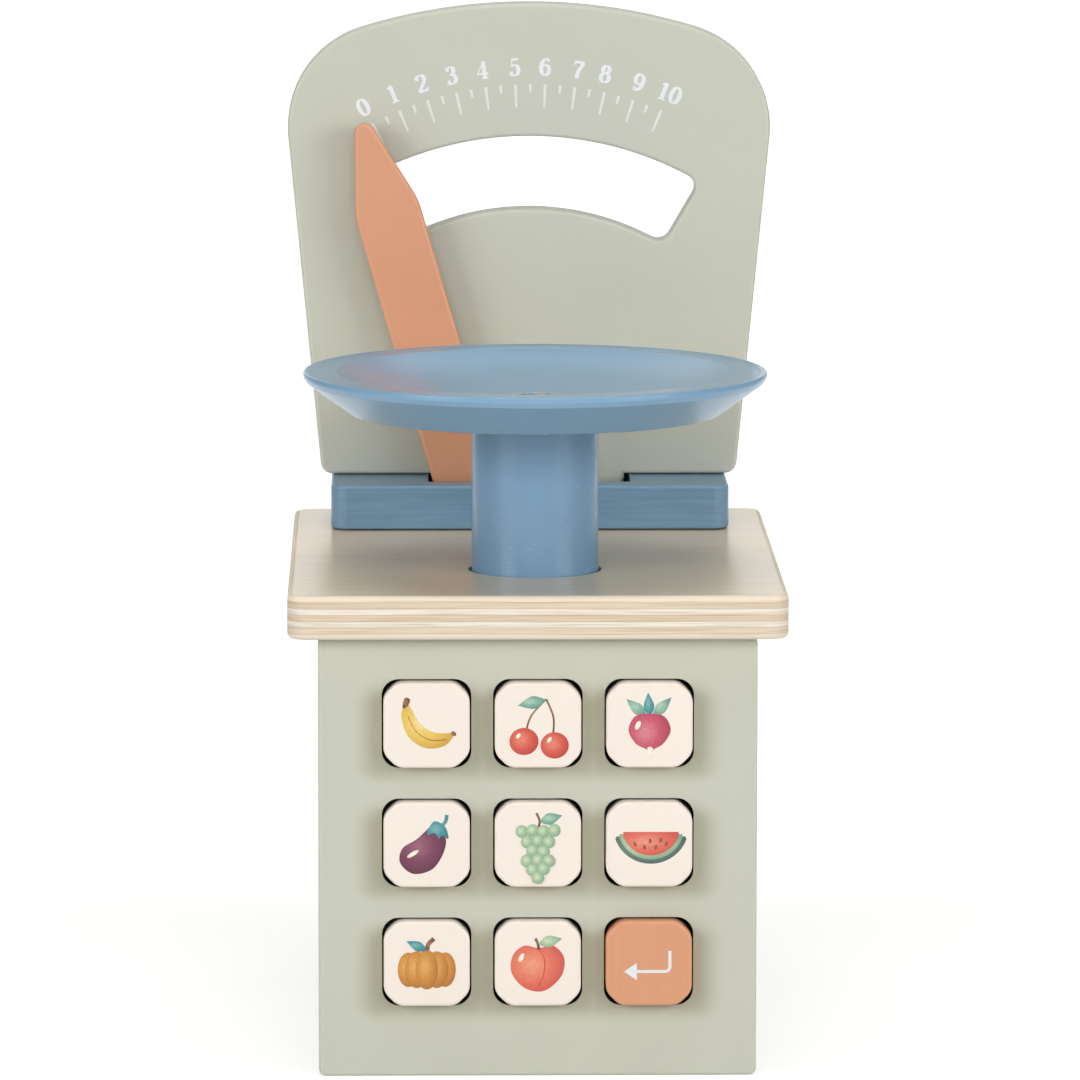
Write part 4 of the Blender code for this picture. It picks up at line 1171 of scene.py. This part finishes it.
def tick_tree(material):
    """Long and short marks in turn along an arc about the second axis, with their heads on one circle."""
    tree, given = new_tree("tick_marks", TICKS)
    sides = {"Bottom Width": given["Foot width"], "Top Width": given["Head width"], "Offset": 0.0}
    sides["Height"] = given["Length"]
    mark = tree.add("GeometryNodeCurvePrimitiveQuadrilateral", sides, mode="TRAPEZOID")
    filled = tree.first("GeometryNodeFillCurve", {"Curve": mark.outputs[0]}, mode="NGONS")
    thick = tree.first("GeometryNodeExtrudeMesh", {"Mesh": filled, "Offset Scale": given["Depth"]})
    back = tree.first("GeometryNodeFlipFaces", {"Mesh": filled})
    both = tree.add("GeometryNodeJoinGeometry", {0: thick})
    tree.tree.links.new(back, both.inputs[0])
    welded = tree.add("GeometryNodeMergeByDistance", {"Geometry": both.outputs[0], "Distance": 0.000001})
    drop = tree.first("ShaderNodeCombineXYZ", {"Y": tree.maths("MULTIPLY", given["Length"], -0.5)})
    hung = tree.first("GeometryNodeTransform", {"Geometry": welded.outputs[0], "Translation": drop})

    number = tree.first("GeometryNodeInputIndex")
    turn = tree.maths("MULTIPLY_ADD", number, given["Step angle"], given["First angle"])
    way = {"X": tree.maths("SINE", turn), "Y": tree.maths("COSINE", turn)}
    way = tree.first("ShaderNodeCombineXYZ", way)
    spot = tree.first("ShaderNodeVectorMath", {0: way, "Scale": given["Radius"]}, operation="SCALE")
    points = tree.first("GeometryNodePoints", {"Count": TICK_COUNT, "Position": spot})
    lean_by = tree.first("ShaderNodeCombineXYZ", {"Z": tree.maths("MULTIPLY", turn, -1.0)})
    short = tree.remap(tree.maths("MODULO", number, 2.0), 0.0, 1.0, 1.0, given["Short share"])
    size = tree.first("ShaderNodeCombineXYZ", {"X": 1.0, "Y": short, "Z": 1.0})
    feeds = {"Points": points, "Instance": hung, "Rotation": lean_by, "Scale": size}
    return finished(tree, tree.first("GeometryNodeInstanceOnPoints", feeds), material)


thin_ink = print_ink("thin_white_screen_print_ink", "#E6E9E3", "#D9DCD3")
ticks = grown("ticks", tick_tree(thin_ink), TICKS)
across, height = TICK_CENTRE
upright = Matrix.Rotation(math.radians(90), 4, "X")
ticks.transform(Matrix.Translation((across, DIAL_FRONT_Y + FILM, height)) @ upright)
place("dial_tick_marks", ticks, [thin_ink], "box", "sage_paint")

# %% [markdown]
# ## Springs
# A coil spring is a helix with a round wire along it, and Geometry Nodes have both: a spiral for the path
# and Curve to Mesh for the wire. One tree makes the main spring and the nine key springs. A spring's two
# ends move with different bodies, so it rides on the box.

# %% Springs
def coil_path(tree, resolution, turns, radius, length):
    """Helix about the third axis that starts at height 0."""
    feeds = {"Resolution": resolution, "Rotations": turns, "Start Radius": radius, "End Radius": radius}
    return tree.first("GeometryNodeCurveSpiral", {**feeds, "Height": length})


def wire_along(tree, path, resolution, radius):
    """Wire with closed ends along a path."""
    wire = tree.first("GeometryNodeCurvePrimitiveCircle", {"Resolution": resolution, "Radius": radius})
    feeds = {"Curve": path, "Profile Curve": wire, "Fill Caps": True}
    return tree.first("GeometryNodeCurveToMesh", feeds)


def spring_tree(material):
    """Coil of round wire."""
    tree, given = new_tree("coil_spring", ("Wire radius", "Coil radius", "Curls", "Length"))
    path = coil_path(tree, 32, given["Curls"], given["Coil radius"], given["Length"])
    swept = wire_along(tree, path, 10, given["Wire radius"])
    round_wire = tree.first("GeometryNodeSetShadeSmooth", {"Geometry": swept})
    return finished(tree, round_wire, material)


coil = spring_tree(steel)


def spring(wire, radius, curls, start, end):
    """Spring whose outer faces just fill the space between two points."""
    start, end = Vector(start), Vector(end)
    length = (end - start).length - 2 * wire
    mesh = grown("coil", coil, {"Wire radius": wire, "Coil radius": radius, "Curls": curls, "Length": length})
    turn = (end - start).to_track_quat("Z", "Y").to_matrix().to_4x4()
    mesh.transform(Matrix.Translation(start + (end - start).normalized() * wire) @ turn)
    return mesh


mesh = spring(0.0007, 0.0080, 8, (0.0, DISH_Y, 0.0663), (0.0, DISH_Y, 0.1062))
main = place("dish_spring", mesh, [steel], "box", "zinc_steel", ["main_spring"])
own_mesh(main)
for number, (across, height) in enumerate(key_centres(), start=1):
    mesh = spring(0.0003, 0.0036, 4, (across, -0.0594, height), (across, -0.0518, height))
    piece = place(f"coil_of_key_{number}", mesh, [steel], "box", "zinc_steel", [f"key_spring_{number}"])
    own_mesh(piece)

# %% [markdown]
# ## Prints on the keys
# The key caps carry small coloured prints of food. These are plain drawings of common kinds: each is a few
# closed films of ink, one over the other, so that a leaf lies on a fruit. A soft light spot, a darker rim
# and a fine grain of dots give them the look of a printed water colour. The light spot reads a UV map that
# is laid over each film's own box, because it belongs to that film and not to the key.

# %% Inks for the prints
INK_COLOURS = {
    "yellow": ("#F4E09A", "#E8C860", "#D0A544"),
    "red": ("#E98A72", "#D75F4E", "#B93E3A"),
    "magenta": ("#DE8795", "#C9566C", "#A63A55"),
    "plum": ("#9C6478", "#7A4059", "#5A2B42"),
    "pale_green": ("#D3DFC0", "#A9C3A0", "#7FA587"),
    "leaf": ("#B5D1BC", "#83B09A", "#5C9088"),
    "teal": ("#7DB8B8", "#4C969B", "#3A7C86"),
    "rind": ("#8FA688", "#647E6C", "#48605A"),
    "flesh": ("#EE9A84", "#E2735F", "#CE5650"),
    "mustard": ("#E4B065", "#D0903F", "#AF7032"),
    "coral": ("#F1A184", "#E57A61", "#CB544B"),
    "cream": ("#FBF6E8", "#F5EEDC", "#E7DDC6"),
    "brown": ("#A77A5E", "#85563F", "#63402F"),
}
LIGHT_SPOT = (0.40, 0.58, 0.0)


def shaded_ink(name, light, middle, dark):
    """Printed colour that is light inside and darker towards the rim of its film."""
    material, tree, spot = new_material(name)
    spread = tree.first("ShaderNodeUVMap", uv_map="film")
    ramp = tree.add("ShaderNodeValToRGB", {0: tree.vectors("DISTANCE", spread, LIGHT_SPOT)})
    stops = ramp.color_ramp.elements
    stops[0].position, stops[0].color = 0.05, linear(light)
    stops[1].position, stops[1].color = 0.62, linear(dark)
    stops.new(0.34).color = linear(middle)
    share = tree.remap(tree.noise(spot, 3000.0, 1.0), 0.42, 0.60, 0.0, 0.30)
    tree.principled(tree.mix(share, ramp.outputs[0], linear(dark)), 0.5)
    return material


INKS = {name: shaded_ink(f"print_{name}", *shades) for name, shades in INK_COLOURS.items()}
INKS["white"] = white_ink
print(f"{len(INKS)} inks")

# %% [markdown]
# A film's outline is a smooth closed curve through a few points, given in millimetres from the middle of
# the key. Stalks and lines are strokes of the pen from the cell on figures.

# %% Drawing with films of ink
def smooth_loop(points, steps=6):
    """Smooth closed curve through the points."""
    made = []
    count = len(points)
    for i in range(count):
        made += curve_between(*(points[(i + k) % count] for k in (-1, 0, 1, 2)), steps)
    return made


def oval(centre, wide, high, turn=0.0):
    """Oval film, turned by an angle in degrees."""
    c, s = math.cos(math.radians(turn)), math.sin(math.radians(turn))
    return [
        (centre[0] + wide * x * c - high * y * s, centre[1] + wide * x * s + high * y * c)
        for x, y in circle((0, 0), 1.0, 32)
    ]


def leaf(root, tip, width):
    """Pointed leaf between two points."""
    root, tip = Vector(root), Vector(tip)
    side = Vector((-(tip - root).y, (tip - root).x)).normalized() * width / 2
    left = through([tuple(root), tuple(root.lerp(tip, 0.45) + side), tuple(tip)], 6)
    back = through([tuple(tip), tuple(root.lerp(tip, 0.45) - side), tuple(root)], 6)
    return left + back[1:-1]


def stalk(points, width):
    return pen_stroke(through(points, 5), width, width)


def banana():
    peel = [(-6.2, 2.4), (-4.6, -2.6), (-0.4, -5.6), (4.6, -5.0), (7.0, -1.8), (5.4, -1.9), (1.6, -1.6),
            (-1.6, 0.6), (-3.9, 4.4), (-5.2, 5.4)]
    yield "yellow", smooth_loop(peel)
    yield "brown", smooth_loop([(-5.9, 4.4), (-4.6, 5.0), (-4.1, 6.6), (-5.4, 6.9)])
    yield "brown", oval((6.7, -2.0), 0.7, 0.5, -40)
    yield "mustard", stalk([(-4.6, 2.4), (-2.6, -1.4), (0.9, -3.6), (5.0, -3.5)], 0.25)


def cherries():
    yield "brown", stalk([(-3.0, -1.4), (-1.6, 2.6), (2.0, 6.6)], 0.45)
    yield "brown", stalk([(3.7, -2.6), (3.8, 2.0), (2.0, 6.6)], 0.45)
    yield "red", oval((-3.5, -4.0), 3.6, 3.4)
    yield "red", oval((4.1, -5.0), 3.5, 3.3)
    yield "leaf", leaf((2.0, 6.4), (-5.0, 5.0), 3.2)
    yield "cream", oval((-4.9, -2.6), 0.45, 0.8, -35)
    yield "cream", oval((2.8, -3.6), 0.45, 0.8, -35)


def radish():
    yield "leaf", leaf((-0.6, 2.0), (-5.8, 6.6), 2.8)
    yield "leaf", leaf((0.6, 2.0), (5.4, 7.0), 2.8)
    yield "teal", leaf((0.0, 2.0), (-0.4, 8.2), 2.6)
    yield "magenta", smooth_loop([(0.0, 2.9), (3.6, 2.2), (5.2, -1.2), (3.4, -4.6), (0.9, -6.2),
            (0.2, -8.2), (-0.6, -6.2), (-3.4, -4.6), (-5.2, -1.2), (-3.6, 2.2)])
    yield "cream", smooth_loop([(0.9, -6.0), (0.2, -8.4), (-0.6, -6.0), (0.0, -5.4)], 4)
    yield "cream", oval((-2.9, 0.0), 0.6, 1.2, -25)


def aubergine():
    yield "plum", smooth_loop([(3.0, 3.8), (4.8, 1.4), (3.9, -2.6), (1.2, -6.2), (-3.4, -7.2), (-6.6, -4.4),
            (-6.0, -0.8), (-2.6, 1.4), (-0.2, 3.6), (1.2, 4.8)])
    yield "teal", stalk([(3.0, 4.4), (4.6, 5.8), (5.0, 7.6)], 0.9)
    yield "teal", smooth_loop([(0.4, 4.0), (2.0, 6.0), (4.6, 4.6), (5.4, 1.6), (3.8, 2.4), (3.0, 1.6),
            (2.0, 3.0), (0.2, 2.6)])
    yield "cream", oval((-3.4, -2.2), 0.5, 1.7, -58)


def grapes():
    yield "brown", stalk([(0.0, 4.0), (0.4, 6.0), (-0.4, 8.0)], 0.6)
    yield "leaf", leaf((0.3, 5.8), (6.0, 7.4), 3.0)
    for row, (count, height) in enumerate(((4, 3.4), (3, 0.8), (4, -1.6), (3, -4.0), (2, -6.2), (1, -8.2))):
        for k in range(count):
            if row == 2 and k in (0, 3):
                continue
            yield "pale_green", oval(((k - (count - 1) / 2) * 2.7, height + 0.25 * (k % 2)), 1.55, 1.6)


def melon():
    layers = (("rind", 9.4, 0.3, 0.7), ("pale_green", 8.3, 0.0, 0.9), ("flesh", 7.3, 0.0, 1.1))
    for ink, radius, inward, rise in layers:
        rim = arc((0.4, 4.6), radius, 200, 340, 30)
        (left_x, left_z), (right_x, right_z) = rim[0], rim[-1]
        yield ink, rim + [(right_x - inward, right_z + rise), (left_x + inward, left_z + rise)]
    seeds = [(-3.6, 0.2, 30), (-1.2, -0.6, 10), (1.6, -0.6, -8)]
    seeds += [(4.2, 0.2, -28), (0.2, 1.0, 0), (2.8, 1.2, -12)]
    for x, z, turn in seeds:
        yield "brown", oval((x, z), 0.32, 0.6, turn)


def pumpkin():
    yield "brown", stalk([(0.0, 3.0), (0.4, 5.0), (1.8, 6.4)], 1.1)
    for x, wide in ((-4.6, 2.6), (4.6, 2.6), (-2.5, 2.9), (2.5, 2.9), (0.0, 2.8)):
        yield "mustard", oval((x, -1.4), wide, 5.0 - 0.14 * abs(x))
    yield "teal", leaf((0.2, 3.4), (-5.0, 5.8), 2.4)


def peach():
    yield "coral", smooth_loop([(0.2, 4.0), (3.8, 4.6), (6.5, 1.6), (6.0, -2.8), (2.8, -6.2), (-0.4, -7.0),
            (-4.0, -5.6), (-6.6, -2.0), (-6.2, 2.2), (-3.4, 4.6)])
    yield "red", stalk([(0.3, 3.8), (1.7, 0.8), (1.3, -3.0), (0.2, -5.6)], 0.3)
    yield "brown", stalk([(0.2, 3.6), (0.0, 5.0), (-0.6, 6.4)], 0.7)
    yield "pale_green", leaf((0.0, 5.0), (6.0, 6.4), 3.0)
    yield "cream", oval((-4.1, 1.6), 0.55, 1.2, -28)


def return_arrow():
    yield "white", pen_stroke([(5.2, 3.2), (5.2, -1.2)], 0.75, 0.75)
    yield "white", pen_stroke([(5.2, -1.0), (4.9, -1.7), (4.2, -2.0)], 0.75, 0.75)
    yield "white", pen_stroke([(4.4, -2.0), (-4.4, -2.0)], 0.75, 0.75)
    yield "white", [(-6.2, -2.0), (-3.0, 0.2), (-3.0, -4.2)]


print("drawings ready")

# %% [markdown]
# Every film starts a little inside the cap's paint. Each later film is two hundredths of a millimetre
# higher than the one below it, so they stack as real prints do.

# %% Prints on the keys
KEY_FRONT_Y = -0.0735
DRAWINGS = (banana, cherries, radish, aubergine, grapes, melon, pumpkin, peach, return_arrow)


def print_films(films, centre):
    """Mesh of a drawing's films, and the names of the inks in the order of its material slots."""
    work = bmesh.new()
    spread = work.loops.layers.uv.new("film")
    names = []
    for height, (ink, outline) in enumerate(films):
        if ink not in names:
            names.append(ink)
        points = [(centre[0] + x * 0.001, centre[1] + z * 0.001) for x, z in outline]
        proud = 0.00002 * (height + 1)
        faces = add_print(work, points, KEY_FRONT_Y - proud, proud + 0.00002, names.index(ink))
        low_x, low_z = min(p[0] for p in points), min(p[1] for p in points)
        wide = max(p[0] for p in points) - low_x
        high = max(p[1] for p in points) - low_z
        for face in faces:
            for loop in face.loops:
                loop[spread].uv = ((loop.vert.co.x - low_x) / wide, (loop.vert.co.z - low_z) / high)
    return work, names


for number, (drawing, centre) in enumerate(zip(DRAWINGS, key_centres()), start=1):
    work, names = print_films(drawing(), centre)
    slot = "orange_paint" if number == 9 else "cream_paint"
    place(f"print_on_key_{number}", work, [INKS[name] for name in names], f"key_{number}", slot, film=True)

# %% [markdown]
# ## Screws
# The screw in the dish's well and the four in the base are the same kind: a flat head with a cross recess
# and a threaded shank. A helix gives the thread its pitch. Heads are all that shows, so the recess gets the
# care: its walls are cut with a Boolean, and the arris round the head is rounded.

# %% Screws
SHANK_RADIUS = 0.0012
RECESS_LONG, RECESS_WIDE, RECESS_DEEP = 0.0034, 0.00066, 0.0024
THREAD_PITCH, THREAD_START, THREAD_SHORTER = 0.0011, 0.0030, 0.0060


def thread_tree(material):
    """Ridge of a screw's thread, as a wire along a helix that hangs down from height 0."""
    tree, given = new_tree("screw_thread", ("Thread radius", "Root radius", "Turns", "Length"))
    path = coil_path(tree, 16, given["Turns"], given["Root radius"], given["Length"])
    down = tree.first("ShaderNodeCombineXYZ", {"Z": tree.maths("MULTIPLY", given["Length"], -1.0)})
    lowered = tree.first("GeometryNodeTransform", {"Geometry": path, "Translation": down})
    return finished(tree, wire_along(tree, lowered, 4, given["Thread radius"]), material)


thread = thread_tree(steel)


def screw_mesh(head_radius, length):
    """Screw with its head's face at height 0 and its tip below."""
    profile = round_corners(
        [
            (0.0, 0.0, 0.0),
            (head_radius, 0.0, 0.00015),
            (head_radius, -0.0004, 0.0001),
            (SHANK_RADIUS, -0.0022, 0.0),
            (SHANK_RADIUS, 0.0025 - length, 0.0),
            (0.0003, -length, 0.0),
            (0.0, -length, 0.0),
        ],
        4,
    )
    mesh = mesh_of("screw", turned(profile, (0, 0, 0), 48))
    mesh.shade_smooth()
    mesh.set_sharp_from_angle(angle=math.radians(35))
    holder = put("screw", mesh)
    recess = bmesh.new()
    for wide, long in ((RECESS_LONG, RECESS_WIDE), (RECESS_WIDE, RECESS_LONG)):
        corners = bmesh.ops.create_cube(recess, size=1.0)["verts"]
        bmesh.ops.scale(recess, vec=(wide, long, RECESS_DEEP), verts=corners)
    cutter = put("cross", mesh_of("cross", recess))
    boolean = holder.modifiers.new("recess", "BOOLEAN")
    boolean.operation, boolean.solver, boolean.use_self, boolean.object = "DIFFERENCE", "EXACT", True, cutter
    made = settled(holder)
    bpy.data.objects.remove(cutter, do_unlink=True)
    threaded = length - THREAD_SHORTER
    shape = {"Root radius": SHANK_RADIUS, "Turns": threaded / THREAD_PITCH, "Length": threaded}
    ridge = grown("thread", thread, {"Thread radius": 0.0002, **shape})
    ridge.transform(Matrix.Translation((0, 0, -THREAD_START)))
    both = bmesh.new()
    both.from_mesh(made)
    both.from_mesh(ridge)
    return both


dish_screw = screw_mesh(0.0042, 0.0160)
bmesh.ops.translate(dish_screw, vec=(0.0, DISH_Y, DISH_Z + 0.0038), verts=dish_screw.verts)
place("screw_in_dish", dish_screw, [steel], "dish", "zinc_steel", ["dish_screw"])
for number in range(1, 5):
    low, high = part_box(f"base_screw_{number}")
    one = screw_mesh(0.0031, high.z - low.z)
    foot = ((low.x + high.x) / 2, (low.y + high.y) / 2, low.z)
    over = Matrix.Translation(foot) @ Matrix.Rotation(math.pi, 4, "X")
    bmesh.ops.transform(one, matrix=over, verts=one.verts)
    place(f"screw_in_base_{number}", one, [steel], "box", "zinc_steel", [f"base_screw_{number}"])

# %% [markdown]
# ## Inside the box
# What is left are the solids that no one sees from outside: the base, the corner blocks, the board behind
# the keys, the guide post and the crank work. Their shapes are right as they are, so they only get their
# finish.

# %% Inside the box
INSIDE_STEEL = ("bar_screw_1", "bar_screw_2", "pointer_axle", "crank_pin")
replaced = {name for piece in bpy.data.objects for name in piece.get("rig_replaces", [])}
kept = 0
for name, solid in nodes.items():
    if name in replaced:
        continue
    finish = steel if name in INSIDE_STEEL else beech
    for slot_of_solid in solid.material_slots:
        slot_of_solid.link = "OBJECT"
        slot_of_solid.material = finish
    kept += 1
print(f"{kept} solids keep their shape")
